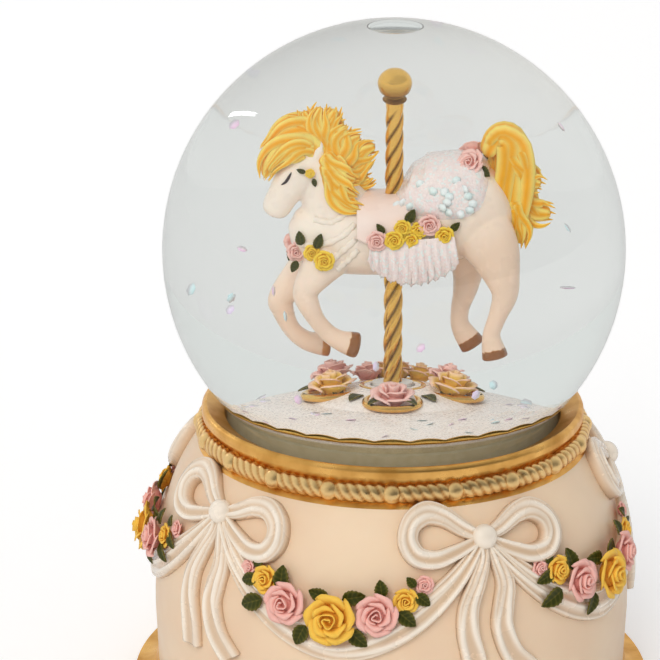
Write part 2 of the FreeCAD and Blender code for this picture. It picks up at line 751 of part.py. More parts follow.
def pinned_drum():
    """Drum with a few pins for each comb tooth, set round in steps by a fixed rule."""
    start = number(DRUM_NEAR)
    along = Vector(1, 0, 0)
    drum = Part.makeCylinder(S.drum_radius, S.drum_length, Vector(start, 0, 0), along)
    bore = Part.makeCylinder(S.drum_shaft_radius, S.drum_length, Vector(start, 0, 0), along)
    step = S.drum_length / COMB_TEETH
    pins = []
    for tooth in range(COMB_TEETH):
        for row in range(DRUM_PIN_ROWS):
            pin = Part.makeCylinder(S.drum_pin_radius, S.drum_pin_height + S.drum_radius / 4,
                                    Vector(start + (tooth + 0.5) * step, 0, S.drum_radius * 0.75))
            pin.rotate(Vector(), along, 360.0 / DRUM_PIN_ROWS * row + 47.0 * tooth)
            pins.append(pin)
    shape = drum.cut(bore).multiFuse(pins)
    shape.translate(Vector(0, 0, number(DRUM_Z)))
    return shape


def build_cylinder():
    shaped("pin_cylinder", pinned_drum())
    half = "pinion_width / 2"
    pinion = gear("cylinder_pinion", "drive_module", PINION_TEETH, "pinion_width", "drum_shaft_radius")
    place(pinion, f"{FACE_RADIUS} - {half}", "0", DRUM_Z)
    wheel = gear("cylinder_wheel", "train_module", WHEEL_TEETH, "train_width", "drum_shaft_radius")
    place(wheel, WHEEL_X, "0", DRUM_Z)
    node(cylinder("drum_shaft_radius", f"{WHEEL_X} + train_width - {FACE_RADIUS} + {half}",
                  f"{FACE_RADIUS} - {half}", "0", DRUM_Z, along="x"), "cylinder_shaft")
    top = f"{DRUM_Z} + bracket_headroom - {BED_TOP}"
    wide = f"{GOVERNOR_Y} + bracket_depth / 2 + governor_shaft_radius + 2"
    near = block("bracket_plate", "bracket_depth", top, BRACKET_NEAR, "-bracket_depth / 2", BED_TOP)
    far = block("bracket_plate", wide, top, BRACKET_FAR, "-bracket_depth / 2", BED_TOP)
    foot = block(f"{BRACKET_FAR} + bracket_plate - {BRACKET_NEAR}", "bracket_depth", "bracket_plate",
                 BRACKET_NEAR, "-bracket_depth / 2", BED_TOP)
    span = f"{BRACKET_FAR} + bracket_plate - {BRACKET_NEAR}"
    axle = cylinder("drum_shaft_radius + running_clearance", span, BRACKET_NEAR, "0", DRUM_Z, along="x")
    second = cylinder("governor_shaft_radius + running_clearance", "bracket_plate",
                      BRACKET_FAR, GOVERNOR_Y, DRUM_Z, along="x")
    node(without(fused(near, far, foot), axle, second), "cylinder_bracket")
    comb = new_body("tone_comb")
    end = f"{DRUM_NEAR} + drum_length"
    plate = outline(comb, "XY_Plane", [
        (DRUM_NEAR, COMB_BACK), (end, COMB_BACK), (end, f"-{COMB_TIP}"), (DRUM_NEAR, f"-{COMB_TIP}")])
    padded(comb, plate, "comb_thickness", f"{DRUM_Z} - comb_thickness / 2")
    first = f"({DRUM_NEAR} + drum_length / {COMB_TEETH} - comb_slot / 2)"
    slot = outline(comb, "XY_Plane", [
        (first, f"-{COMB_TIP} - comb_tooth_length"),
        (f"{first} + comb_slot", f"-{COMB_TIP} - comb_tooth_length"),
        (f"{first} + comb_slot", "0"),
        (first, "0")])
    cut = drilled(comb, slot)
    row = comb.newObject("PartDesign::LinearPattern", "comb_slots")
    row.Originals = [cut]
    row.Direction = (plane(comb, "X_Axis"), [""])
    row.Occurrences = COMB_TEETH - 1
    bind(row, Length=f"drum_length * {COMB_TEETH - 2} / {COMB_TEETH}")
    comb.Tip = row
    doc.recompute()
    for x, y in comb_screw_spots():
        comb.Tip = drilled(comb, circle_sketch(comb, x, y, "screw_radius"))
    comb_top = f"{DRUM_Z} + comb_thickness / 2"
    made = []
    for x, y in comb_screw_spots():
        shank = cylinder("screw_radius", "comb_thickness + screw_reach", x, y,
                         f"{comb_top} - comb_thickness - screw_reach")
        made.append(fused(shank, cylinder("screw_head_radius", "screw_head_height", x, y, comb_top)))
    group("comb_screws", made)


# Air-brake governor: pinion and worm wheel on one shaft, upright worm with a fan
def worm_thread():
    """Two-start right-hand worm with its threads half a step above and below the wheel's tooth."""
    step = math.pi * S.worm_module
    lead = step * WORM_STARTS
    turns_down = math.floor(S.worm_length / 2 / step)
    low = number(DRUM_Z) + step / 2 - turns_down * step
    root = S.worm_pitch_radius - DEDENDUM * S.worm_module
    tip = S.worm_pitch_radius + ADDENDUM * S.worm_module
    half_root = ROOT_WIDTH / 2 * S.worm_module
    half_tip = TIP_WIDTH / 2 * S.worm_module
    height = S.worm_length - 2 * step
    profile = Part.makePolygon([Vector(root - 0.1, 0, -half_root), Vector(tip, 0, -half_tip),
                                Vector(tip, 0, half_tip), Vector(root - 0.1, 0, half_root),
                                Vector(root - 0.1, 0, -half_root)])
    threads = []
    for start in range(WORM_STARTS):
        helix = Part.makeHelix(lead, height, S.worm_pitch_radius)
        thread = Part.Wire(helix.Edges).makePipeShell([profile], True, True)
        thread.rotate(Vector(), Vector(0, 0, 1), -90.0 + 360.0 / WORM_STARTS * start)
        thread.translate(Vector(number(WORM_X), number(WORM_Y), low))
        threads.append(thread)
    spot = Vector(number(WORM_X), number(WORM_Y), low - step)
    core = Part.makeCylinder(root, S.worm_length, spot)
    foot = number(BED_TOP) + S.governor_plate / 2
    reach = S.governor_arm_height + S.governor_plate / 2 - foot
    shaft = Part.makeCylinder(S.worm_shaft_radius, reach, Vector(spot.x, spot.y, foot))
    return core.multiFuse(threads + [shaft])


def build_governor():
    bore = "governor_shaft_radius"
    pinion = gear("governor_pinion", "train_module", GOVERNOR_TEETH, "train_width", bore,
                  180.0 / GOVERNOR_TEETH)
    place(pinion, WHEEL_X, GOVERNOR_Y, DRUM_Z)
    wheel = gear("worm_wheel", "worm_module", WORM_WHEEL_TEETH, "worm_wheel_width", bore)
    place(wheel, f"{WORM_X} - worm_wheel_width / 2", GOVERNOR_Y, DRUM_Z)
    node(cylinder(bore, f"{WHEEL_X} + train_width - {GOVERNOR_NEAR}", GOVERNOR_NEAR, GOVERNOR_Y, DRUM_Z,
                  along="x"), "governor_shaft")
    shaped("governor_worm", worm_thread())
    low = f"{BED_TOP} + fan_bottom_lift"
    hub = cylinder("worm_shaft_radius + 1", "fan_height", WORM_X, WORM_Y, low)
    vane = block("2 * fan_reach", "fan_thickness", "fan_height", f"{WORM_X} - fan_reach",
                 f"{WORM_Y} - fan_thickness / 2", low)
    hole = cylinder("worm_shaft_radius", "fan_height", WORM_X, WORM_Y, low)
    node(without(fused(hub, vane), hole), "governor_fan")
    front = f"({GOVERNOR_Y} - governor_shaft_radius - 2)"
    depth = f"{WORM_Y} + worm_shaft_radius + 2 - {front}"
    upright = block("governor_plate", depth, f"governor_arm_height + governor_plate - {BED_TOP}",
                    GOVERNOR_NEAR, front, BED_TOP)
    width = f"{WORM_X} + worm_shaft_radius + 2 - {GOVERNOR_NEAR}"
    arms = [block(width, "worm_shaft_radius * 2 + 4", "governor_plate", GOVERNOR_NEAR,
                  f"{WORM_Y} - worm_shaft_radius - 2", height) for height in ("governor_arm_height", BED_TOP)]
    clear = "running_clearance"
    pivots = [cylinder(f"worm_shaft_radius + {clear}", "governor_plate / 2 + 0.2", WORM_X, WORM_Y, height)
              for height in ("governor_arm_height", f"{BED_TOP} + governor_plate / 2 - 0.2")]
    axle = cylinder(f"{bore} + {clear}", "governor_plate", GOVERNOR_NEAR, GOVERNOR_Y, DRUM_Z, along="x")
    node(without(fused(upright, *arms), axle, *pivots), "governor_frame")


# Magnet rotor, twisted pole, gilt scroll of rings and the roses that turn with the horse
def mound_height(radius):
    """Height of the snowy ground at a radius, on the two arcs of its outline."""
    hub = S.hub_radius + S.hub_clearance
    if radius < S.ground_mound_radius:
        return arc_at(radius, (S.ground_mound_radius, S.ground_mound_height), (hub, S.ground_top_height),
                      S.ground_mound_radius * 1.5)
    return arc_at(radius, (S.ground_radius, S.ground_edge_height),
                  (S.ground_mound_radius, S.ground_mound_height), S.ground_radius * 2)


def arc_at(across, first, last, radius):
    """Height at a distance across on the arc that bulges right of the way from first to last."""
    chord = Vector(last[0] - first[0], last[1] - first[1], 0)
    left = Vector(-chord.y, chord.x, 0).normalize()
    middle = Vector(*first, 0) + chord * 0.5
    centre = middle + left * math.sqrt(radius ** 2 - chord.Length ** 2 / 4)
    return centre.y + math.sqrt(max(radius ** 2 - (across - centre.x) ** 2, 0.0))


def bloom(radius):
    """Open rose about the upright axis: whorls of petals as steps of one turned outline."""
    steps = [(0.0, 0.0), (0.72, 0.0), (1.0, 0.40), (0.94, 0.66), (0.74, 0.78), (0.66, 0.66), (0.58, 0.88),
             (0.40, 0.93), (0.32, 0.82), (0.22, 0.98), (0.0, 1.0)]
    points = [Vector(radius * across, 0, radius * up) for across, up in steps]
    face = Part.Face(Part.makePolygon(points + points[:1]))
    return face.revolve(Vector(), Vector(0, 0, 1), 360.0)


def leaf(length, width, thickness):
    """Flat pointed leaf from the origin along X."""
    tip = Vector(length, 0, 0)
    sides = [Part.Arc(Vector(), Vector(length * 0.45, width / 2, 0), tip).toShape(),
             Part.Arc(tip, Vector(length * 0.45, -width / 2, 0), Vector()).toShape()]
    return Part.Face(Part.Wire(sides)).extrude(Vector(0, 0, thickness))


def scroll_frames():
    """Placements of the four rose rings, each tilted to the slope of the mound."""
    inner = S.scroll_circle - S.scroll_ring_radius
    outer = S.scroll_circle + S.scroll_ring_radius
    tilt = math.degrees(math.atan2(mound_height(inner) - mound_height(outer), outer - inner))
    height = (mound_height(inner) + mound_height(outer)) / 2
    bulge = max(0.0, mound_height(S.scroll_circle) - height)
    lift = height + bulge + S.scroll_lift + S.scroll_tube
    frames = []
    for quarter in range(4):
        about = Rotation(Vector(0, 0, 1), 90.0 * quarter)
        frames.append(Placement(about.multVec(Vector(S.scroll_circle, 0, lift)),
                                about * Rotation(Vector(0, 1, 0), tilt)))
    return frames


def build_carousel():
    hub_low = ROTOR_BOTTOM
    disc_top = f"{ROTOR_BOTTOM} + rotor_thickness"
    pin_hole = "pin_radius + running_clearance"
    pin_end = f"{PIN_TOP} + hub_clearance / 2"
    rotor = turned("magnet_rotor", [
        (pin_hole, hub_low), ("rotor_radius", hub_low), ("rotor_radius", disc_top), ("hub_radius", disc_top),
        ("hub_radius", HUB_TOP), ("pole_radius", HUB_TOP), ("pole_radius", POLE_BOTTOM), ("0", POLE_BOTTOM),
        ("0", pin_end), (pin_hole, pin_end)])
    for x, y in magnet_spots():
        sketch = circle_sketch(rotor, x, y, "magnet_radius")
        bind(sketch, AttachmentOffset__Base__z=ROTOR_BOTTOM)
        pocket = rotor.newObject("PartDesign::Pocket", "magnet_pocket")
        pocket.Profile = sketch
        pocket.Reversed = True
        bind(pocket, Length="magnet_thickness")
        doc.recompute()
    group("rotor_magnets", [cylinder("magnet_radius", "magnet_thickness", x, y, ROTOR_BOTTOM)
                            for x, y in magnet_spots()])
    node(cylinder("pole_radius", f"pole_top_height - {POLE_BOTTOM}", z=POLE_BOTTOM), "carousel_pole")
    ball = doc.addObject("Part::Sphere", "ball")
    bind(ball, Radius="finial_radius")
    place(ball, z="pole_top_height + finial_radius * 0.7")
    shank = cylinder("pole_radius", "finial_radius", z="pole_top_height - finial_radius")
    node(without(ball, shank), "pole_finial")
    hub = number(HUB_TOP)
    pole = Part.makeCylinder(S.pole_radius, 2 * S.globe_radius, Vector(0, 0, hub - S.finial_radius))
    inner = S.scroll_circle - S.scroll_ring_radius
    plate = Part.makeCylinder(inner, 2 * S.scroll_tube, Vector(0, 0, hub))
    crown = Part.makeTorus(inner, S.scroll_tube, Vector(0, 0, hub + S.scroll_tube))
    rings = []
    roses = []
    for frame in scroll_frames():
        ring = Part.makeTorus(S.scroll_ring_radius, S.scroll_tube)
        ring.Placement = frame
        rings.append(ring)
        rose = bloom(S.globe_rose_radius)
        backing = Part.makeCylinder(S.scroll_ring_radius - S.scroll_tube * 0.3, S.scroll_tube)
        backing.Placement = frame.multiply(Placement(Vector(0, 0, -S.scroll_tube * 0.6), Rotation()))
        rose.Placement = frame
        rings.append(backing)
        roses.append(rose)
    scroll = plate.multiFuse([crown] + rings).cut(pole)
    shaped("rose_scroll", scroll)
    shaped("globe_roses", Part.makeCompound([solid for rose in roses for solid in rose.cut(scroll).Solids]))


# Prancing horse: lofts through ovals along the spine, neck, head, legs, mane and tail
def oval(centre, heading, tall, wide):
    """Closed smooth ring round a point: tall in the upright plane of the heading, wide across it."""
    forward = Vector(*heading).normalize()
    side = Vector(0, 1, 0)
    rise = side.cross(forward)
    points = []
    for step in range(12):
        turn = math.tau * step / 12
        points.append(Vector(*centre) + rise * (tall * math.cos(turn)) + side * (wide * math.sin(turn)))
    curve = Part.BSplineCurve()
    curve.interpolate(points, PeriodicFlag=True)
    return Part.Wire(curve.toShape())


def limb(stations):
    """Loft through stations of (x, y, height above the globe's centre, half height, half width)."""
    spots = [Vector(x, y, z + S.globe_centre_height) for x, y, z, *_ in stations]
    rings = []
    for index, (spot, station) in enumerate(zip(spots, stations)):
        before = spots[max(index - 1, 0)]
        after = spots[min(index + 1, len(spots) - 1)]
        heading = after - before
        heading.y = 0.0
        rings.append(oval(spot, heading, station[3], station[4]))
    return Part.makeLoft(rings, True, False)


TRUNK = [(-16.6, 0, 1.6, 1.4, 1.4), (-15.2, 0, 2.0, 4.0, 3.6), (-11.0, 0, 2.8, 6.2, 5.2),
         (-4.0, 0, 2.9, 6.9, 5.9), (3.0, 0, 3.6, 7.0, 6.2), (9.5, 0, 6.4, 7.8, 6.4),
         (14.5, 0, 8.6, 7.6, 5.6), (17.6, 0, 10.2, 5.2, 4.0), (19.0, 0, 11.0, 1.6, 1.4)]
NECK = [(-6.5, 0, 3.0, 5.6, 4.2), (-9.6, 0, 9.0, 5.4, 3.6), (-11.8, 0, 14.0, 3.9, 2.9),
        (-13.2, 0, 16.6, 2.2, 2.2)]
HEAD = [(-11.6, 0, 15.6, 1.6, 1.5), (-14.0, 0, 14.2, 3.4, 2.8), (-16.4, 0, 11.8, 3.2, 2.6),
        (-18.4, 0, 9.2, 2.3, 2.0), (-19.5, 0, 7.2, 2.0, 1.8), (-20.0, 0, 6.0, 1.1, 1.0)]
EAR = [(-13.4, 0, 15.8, 1.0, 0.8), (-12.9, 0, 17.6, 0.7, 0.6), (-12.6, 0, 19.0, 0.2, 0.2)]
FRONT_NEAR = [(-10.0, -3.4, 0.5, 3.4, 2.4), (-12.8, -3.7, -3.0, 2.7, 2.2), (-14.2, -3.8, -6.4, 1.9, 1.7),
              (-13.0, -3.8, -9.6, 1.6, 1.4), (-10.8, -3.8, -13.2, 1.5, 1.4), (-8.0, -3.8, -14.6, 1.8, 1.7),
              (-5.4, -3.8, -15.0, 1.9, 1.9)]
FRONT_FAR = [(-11.0, 3.4, 0.0, 3.4, 2.4), (-14.4, 3.7, -4.5, 2.5, 2.1), (-17.8, 3.8, -9.6, 1.9, 1.7),
             (-17.0, 3.8, -12.8, 1.5, 1.4), (-14.8, 3.8, -15.8, 1.4, 1.3), (-12.0, 3.8, -16.4, 1.7, 1.6),
             (-9.8, 3.8, -16.2, 1.8, 1.8)]
HIND_NEAR = [(13.5, -3.2, 6.0, 5.0, 2.6), (17.0, -3.6, 0.6, 4.0, 2.6), (18.4, -3.8, -4.4, 2.6, 2.0),
             (17.6, -3.8, -8.4, 1.9, 1.6), (16.0, -3.8, -12.0, 1.4, 1.3), (16.0, -3.8, -14.4, 1.6, 1.5),
             (16.4, -3.8, -17.2, 2.0, 1.9)]
HIND_FAR = [(11.5, 3.2, 5.0, 5.0, 2.6), (12.2, 3.6, -0.6, 3.6, 2.5), (11.6, 3.8, -5.4, 2.3, 1.9),
            (10.8, 3.8, -9.4, 1.7, 1.5), (10.4, 3.8, -12.4, 1.4, 1.3), (11.2, 3.8, -14.4, 1.6, 1.5),
            (12.4, 3.8, -16.6, 1.9, 1.9)]
MANE = [[(-10.0, 0, 14.5, 3.0, 2.0), (-8.4, 0, 18.5, 2.8, 2.2), (-9.2, 0, 22.5, 1.8, 1.6),
         (-11.0, 0, 25.8, 0.3, 0.3)],
        [(-11.5, 0, 16.0, 2.4, 1.8), (-12.4, 0, 20.6, 2.2, 1.8), (-13.4, 0, 24.0, 1.2, 1.0),
         (-13.3, 0, 26.5, 0.3, 0.3)],
        [(-13.0, 0, 17.2, 1.8, 1.6), (-16.4, 0, 19.4, 1.9, 1.6), (-19.6, 0, 18.6, 1.6, 1.4),
         (-21.8, 0, 14.0, 0.4, 0.4)],
        [(-8.5, 0, 11.5, 3.0, 2.0), (-5.6, 0, 14.0, 2.4, 2.0), (-4.2, 0, 16.6, 1.0, 1.0),
         (-3.6, 0, 18.0, 0.3, 0.3)],
        [(-8.0, 0, 8.5, 2.6, 1.8), (-5.0, 0, 10.8, 1.9, 1.6), (-3.9, 0, 12.6, 0.4, 0.4)]]
TAIL = [[(15.2, 0, 15.6, 1.6, 1.6), (17.4, 0, 19.6, 2.0, 1.8), (20.8, 0, 21.0, 2.6, 2.2),
         (22.2, 0, 16.5, 2.8, 2.4), (22.4, 0, 10.5, 2.8, 2.4), (21.0, 0, 5.0, 2.2, 1.8),
         (19.6, 0, 1.6, 0.5, 0.5)],
        [(22.0, 0, 16.0, 1.8, 1.6), (24.0, 0, 14.2, 1.2, 1.1), (25.1, 0, 12.6, 0.3, 0.3)],
        [(22.4, 0, 11.0, 2.0, 1.8), (24.6, 0, 8.6, 1.3, 1.2), (25.8, 0, 5.0, 0.3, 0.3)]]
CANTLE = [(1.6, 0, 9.0, 1.6, 3.6), (2.4, 0, 13.0, 1.2, 3.2), (3.4, 0, 16.4, 0.7, 2.0)]
SADDLE_SPAN = (-3.2, 8.4)
HORSE_ROSES = [(-16.6, 4.6, 2.7), (-12.8, 6.4, 3.2), (-3.6, 8.1, 4.6), (-0.2, 8.3, 5.4), (3.6, 8.4, 6.2),
               (7.0, 8.9, 5.4), (10.6, 2.2, 16.6)]


def build_horse():
    parts = [limb(spots) for spots in (NECK, HEAD, FRONT_NEAR, FRONT_FAR, HIND_NEAR, HIND_FAR, EAR)]
    trunk = limb(TRUNK)
    hub = number(HUB_TOP)
    pole = Part.makeCylinder(S.pole_radius, 2 * S.globe_radius, Vector(0, 0, hub))
    body = trunk.multiFuse(parts).cut(pole)
    shaped("horse_body", body)
    low, high = SADDLE_SPAN
    wide = limb([(x, y, z, tall + S.saddle_thickness, across + S.saddle_thickness)
                 for x, y, z, tall, across in TRUNK])
    floor = S.globe_centre_height - S.globe_radius
    width = 2 * S.globe_radius
    band = Part.makeBox(high - low, width, width, Vector(low, -S.globe_radius, floor))
    belly = Part.makeBox(high - low, 2 * S.girth_gap, S.globe_radius + S.saddle_hem,
                         Vector(low, -S.girth_gap, floor))
    saddle = wide.common(band).fuse(limb(CANTLE)).cut(belly).cut(body).cut(pole)
    shaped("horse_saddle", max(saddle.Solids, key=lambda solid: solid.Volume))
    mane = limb(MANE[0]).multiFuse([limb(lock) for lock in MANE[1:]]).cut(body)
    shaped("horse_mane", Part.makeCompound(mane.Solids))
    tail = limb(TAIL[0]).multiFuse([limb(lock) for lock in TAIL[1:]]).cut(body)
    shaped("horse_tail", Part.makeCompound(tail.Solids))
    dressed = Part.makeCompound([body, saddle])
    roses = []
    for x, y, z in HORSE_ROSES:
        for side in (-1, 1):
            centre = Vector(x, side * y, z + S.globe_centre_height)
            reach = Part.Vertex(centre).distToShape(dressed)[0]
            roses.append(Part.makeSphere(reach - S.skin_gap, centre))
    shaped("horse_flowers", Part.makeCompound(roses))


# Garlands, swags and bows laid on the curved skin of the base
def across_arc(height, first, last, radius):
    """Radius of the skin at a height on the arc between two corners of the base's outline."""
    turned_first = (first[1], first[0])
    turned_last = (last[1], last[0])
    return arc_at(height, turned_last, turned_first, radius)


def skin_radius(height):
    """Outer radius of the base at a height."""
    waist = (S.waist_radius, S.waist_height)
    shoulder = (S.shoulder_radius, S.shoulder_height)
    if height < S.waist_height:
        share = (height - S.foot_height) / (S.waist_height - S.foot_height)
        return S.base_bottom_radius + share * (S.waist_radius - S.base_bottom_radius)
    if height < S.shoulder_height:
        return across_arc(height, waist, shoulder, S.belly_curve)
    return across_arc(height, shoulder, (S.base_top_radius, S.base_top_height), S.shoulder_curve)


def on_skin(angle, height):
    """Point on the skin, with the outward direction, the way round and the way up."""
    turn = math.radians(angle)
    step = 0.05
    lean = (skin_radius(height + step) - skin_radius(height - step)) / (2 * step)
    out = Vector(math.sin(turn), -math.cos(turn), 0)
    along = Vector(math.cos(turn), math.sin(turn), 0)
    up = (out * lean + Vector(0, 0, 1)).normalize()
    return out * skin_radius(height) + Vector(0, 0, height), along.cross(up), along, up


def skin_frame(angle, height, spin=0.0):
    """Placement on the skin: Z outward, X turned by the spin from the way round towards up."""
    spot, out, along, up = on_skin(angle, height)
    base = Rotation(along, up, out, "ZXY")
    return Placement(spot, base * Rotation(Vector(0, 0, 1), spin))


def strip(route, widths, thickness):
    """Ribbon lofted along a route of (angle, height) just above the skin, crowned along its middle."""
    spots = [on_skin(*point) for point in route]
    rings = []
    for index, (spot, out, _, _) in enumerate(spots):
        ahead = spots[min(index + 1, len(spots) - 1)][0] - spots[max(index - 1, 0)][0]
        side = out.cross(ahead).normalize() * (widths[index] / 2)
        back = spot + out * S.skin_gap
        sag = out * ((widths[index] / 2) ** 2 / (2 * S.base_top_radius))
        corners = [back + side - sag, back + side * 0.9 + out * (thickness * 0.5), back + out * thickness,
                   back - side * 0.9 + out * (thickness * 0.5), back - side - sag, back]
        rings.append(Part.makePolygon(corners + corners[:1]))
    return Part.makeLoft(rings, True, False)


def skin_solid():
    """Solid inside the skin, used to trim what lies on it."""
    heights = [S.foot_height, S.waist_height, (S.waist_height + S.shoulder_height) / 2, S.shoulder_height,
               (S.shoulder_height + S.base_top_height) / 2, S.base_top_height]
    dots = [Vector(skin_radius(height), 0, height) for height in heights]
    edges = [Part.makeLine(dots[0], dots[1]), Part.Arc(dots[1], dots[2], dots[3]).toShape(),
             Part.Arc(dots[3], dots[4], dots[5]).toShape()]
    axis = [Vector(0, 0, S.base_top_height), Vector(0, 0, S.foot_height)]
    edges += [Part.makeLine(dots[5], axis[0]), Part.makeLine(axis[0], axis[1]),
              Part.makeLine(axis[1], dots[0])]
    return Part.Face(Part.Wire(edges)).revolve(Vector(), Vector(0, 0, 1), 360.0)


def turned_copy(shape, step):
    copy = shape.copy()
    copy.rotate(Vector(), Vector(0, 0, 1), SECTOR_STEP * step)
    return copy


def swag_route():
    """Hanging curve from one bow's tails to the next, as (angle, height)."""
    shares = [step / 4.0 for step in range(-4, 5)]
    drop = S.bow_height - S.swag_low_height
    reach = S.swag_reach / (SECTOR_STEP / 2)
    return [(GARLAND_ANGLE + S.swag_reach * share, S.swag_low_height + drop * abs(share * reach) ** 1.7)
            for share in shares]


# Bow tails: start below the knot in knot radii, degrees beside it, degrees of spread, size and
# number of their waves, and width at the knot and its growth as shares of the full width
BOW_TAIL_START = 1.3
BOW_TAIL_ANGLE = 2.6
BOW_TAIL_SPREAD = 1.6
BOW_TAIL_WAVE = 0.7
BOW_TAIL_WAVES = 7.0
BOW_TAIL_GATHER = 0.7
BOW_TAIL_FLARE = 0.4


def bow(skin):
    """Two loops, a knot and two wavy tails."""
    angle = GARLAND_ANGLE + SECTOR_STEP / 2
    reach = math.degrees(S.bow_reach / skin_radius(S.bow_height))
    loops = []
    tails = []
    for side in (-1, 1):
        wires = []
        for shrink in (0.0, S.bow_ribbon):
            ring = Part.Ellipse(Vector(), S.bow_loop_length - shrink, S.bow_loop_height - shrink * 0.9)
            wires.append(Part.Wire(ring.toShape()))
        loop = Part.makeFace(wires, "Part::FaceMakerBullseye").extrude(Vector(0, 0, 2 * S.bow_thickness))
        loop.translate(Vector(0, 0, -S.bow_thickness))
        loop.Placement = skin_frame(angle + side * reach, S.bow_height).multiply(loop.Placement)
        loops.append(loop.cut(skin))
        top = S.bow_height - S.bow_knot_radius * BOW_TAIL_START
        rise = top - S.bow_tail_bottom_height
        shares = [step / 5.0 for step in range(6)]
        route = [(angle + side * (BOW_TAIL_ANGLE + BOW_TAIL_SPREAD * share)
                  + BOW_TAIL_WAVE * math.sin(BOW_TAIL_WAVES * share), top - rise * share)
                 for share in shares]
        widths = [S.bow_tail_width * (BOW_TAIL_GATHER + BOW_TAIL_FLARE * share) for share in shares]
        tails.append(strip(route, widths, S.ribbon_thickness))
    spot, out, _, _ = on_skin(angle, S.bow_height)
    knot = Part.makeSphere(S.bow_knot_radius, spot + out * (S.bow_thickness * 0.7)).cut(skin)
    return Part.makeCompound(knot.multiFuse(loops).Solids + tails)


# Roses of one garland: colour, degrees from its middle, drop below the bows and radius
GARLAND_ROSES = [("pink", -22.5, 7.6, 1.9), ("yellow", -17.4, 8.8, 2.5), ("pink", -11.4, 12.4, 3.8),
                 ("yellow", -0.6, 14.0, 4.8), ("pink", 9.2, 12.6, 3.8), ("yellow", 15.6, 10.0, 2.3),
                 ("pink", 20.2, 7.6, 1.8)]
# Leaves of one garland: the rose each grows from and its direction
GARLAND_LEAVES = [(0, 205.0), (1, 255.0), (2, 100.0), (2, 250.0), (3, 75.0), (3, 250.0), (3, 290.0),
                  (4, 80.0), (4, 300.0), (5, 315.0), (6, 345.0)]


def seated(piece, frame, swag):
    """Piece on the skin, or on the swag where it crosses it, raised on until the two are clear."""
    lifts = [S.skin_gap, 2 * S.skin_gap + S.ribbon_thickness]
    while True:
        placed = piece.copy()
        placed.translate(Vector(0, 0, lifts[0]))
        placed.Placement = frame.multiply(placed.Placement)
        if placed.common(swag).Volume == 0.0:
            return placed
        lifts = lifts[1:] or [lifts[0] + S.skin_gap]


def build_garlands():
    skin = skin_solid()
    widths = [S.swag_width * (1.0 - 0.45 * (abs(step) / 4.0) ** 2) for step in range(-4, 5)]
    swag = strip(swag_route(), widths, S.ribbon_thickness)
    knotted = bow(skin)
    blooms = {"pink": [], "yellow": []}
    frames = []
    for colour, offset, drop, radius in GARLAND_ROSES:
        frame = skin_frame(GARLAND_ANGLE + offset, S.bow_height - drop)
        blooms[colour].append(seated(bloom(radius), frame, swag))
        frames.append((frame, radius))
    leaves = []
    for index, spin in GARLAND_LEAVES:
        frame, radius = frames[index]
        blade = leaf(S.leaf_length, S.leaf_width, S.leaf_thickness)
        drop = (S.leaf_length + radius) ** 2 / (4 * S.base_top_radius)
        blade.translate(Vector(radius + S.skin_gap, 0, 0))
        blade.rotate(Vector(radius, 0, 0), Vector(0, 1, 0), math.degrees(math.atan2(drop, S.leaf_length)))
        turn = Placement(Vector(), Rotation(Vector(0, 0, 1), spin))
        leaves.append(seated(blade, frame.multiply(turn), swag))
    for step in range(SECTORS):
        shaped(f"ribbon_swag_{step + 1}", turned_copy(swag, step))
        shaped(f"ribbon_bow_{step + 1}", turned_copy(knotted, step))
    for label, pieces in (("pink_roses", blooms["pink"]), ("yellow_roses", blooms["yellow"]),
                          ("rose_leaves", leaves)):
        shaped(label, Part.makeCompound([turned_copy(piece, step) for step in range(SECTORS)
                                         for piece in pieces]))


def check_and_write():
    """Refuse a failed document, then write every piece."""
    doc.recompute()
    for thing in doc.Objects:
        if "Invalid" in thing.State or "Error" in thing.State:
            raise RuntimeError(f"{thing.Label} failed: {thing.State}")
    os.makedirs("parts", exist_ok=True)
    for piece in NODES:
        if piece.Shape.isNull() or not piece.Shape.isValid() or not piece.Shape.Solids:
            raise RuntimeError(f"{piece.Label} has no valid solid")
    for piece in NODES:
        piece.Shape.exportStep(f"parts/{piece.Label}.step")
    print(f"{len(NODES)} pieces written")


build_globe()
build_base()
build_cover()
build_winder()
build_barrel()
build_cylinder()
build_governor()
build_carousel()
build_horse()
build_garlands()
check_and_write()
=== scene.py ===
"""Looks of a musical water globe: glass ball, carousel horse, garlanded resin base and gilt trim."""

import logging
import math
from dataclasses import dataclass, field
from enum import Enum

import bmesh
import bpy
import numpy as np
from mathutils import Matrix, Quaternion, Vector
from mathutils.bvhtree import BVHTree


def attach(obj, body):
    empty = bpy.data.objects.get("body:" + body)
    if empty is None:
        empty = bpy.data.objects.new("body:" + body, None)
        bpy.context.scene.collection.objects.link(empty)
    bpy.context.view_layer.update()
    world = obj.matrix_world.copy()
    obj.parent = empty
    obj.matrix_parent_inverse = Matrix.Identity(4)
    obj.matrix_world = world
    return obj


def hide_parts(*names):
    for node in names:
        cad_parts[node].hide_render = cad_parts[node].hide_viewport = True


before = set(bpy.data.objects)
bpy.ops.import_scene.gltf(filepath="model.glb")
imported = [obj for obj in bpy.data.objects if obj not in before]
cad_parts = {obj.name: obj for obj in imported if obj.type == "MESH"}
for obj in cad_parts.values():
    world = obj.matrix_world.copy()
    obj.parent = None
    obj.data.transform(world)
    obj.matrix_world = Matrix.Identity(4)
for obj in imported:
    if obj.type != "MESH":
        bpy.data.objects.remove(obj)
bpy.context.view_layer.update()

LOG = logging.getLogger("water_globe")
MM = 0.001
FULL_TURN = 2 * math.pi
UP = np.array([0.0, 0.0, 1.0])
HERE = np.zeros(3)
Colour = tuple[float, float, float]
Corner = tuple[float, float]
Stations = list[tuple[float, ...]]


class Carrier(Enum):
    """Moving bodies that the new pieces ride on."""

    BASE = "base"
    CAROUSEL = "carousel"


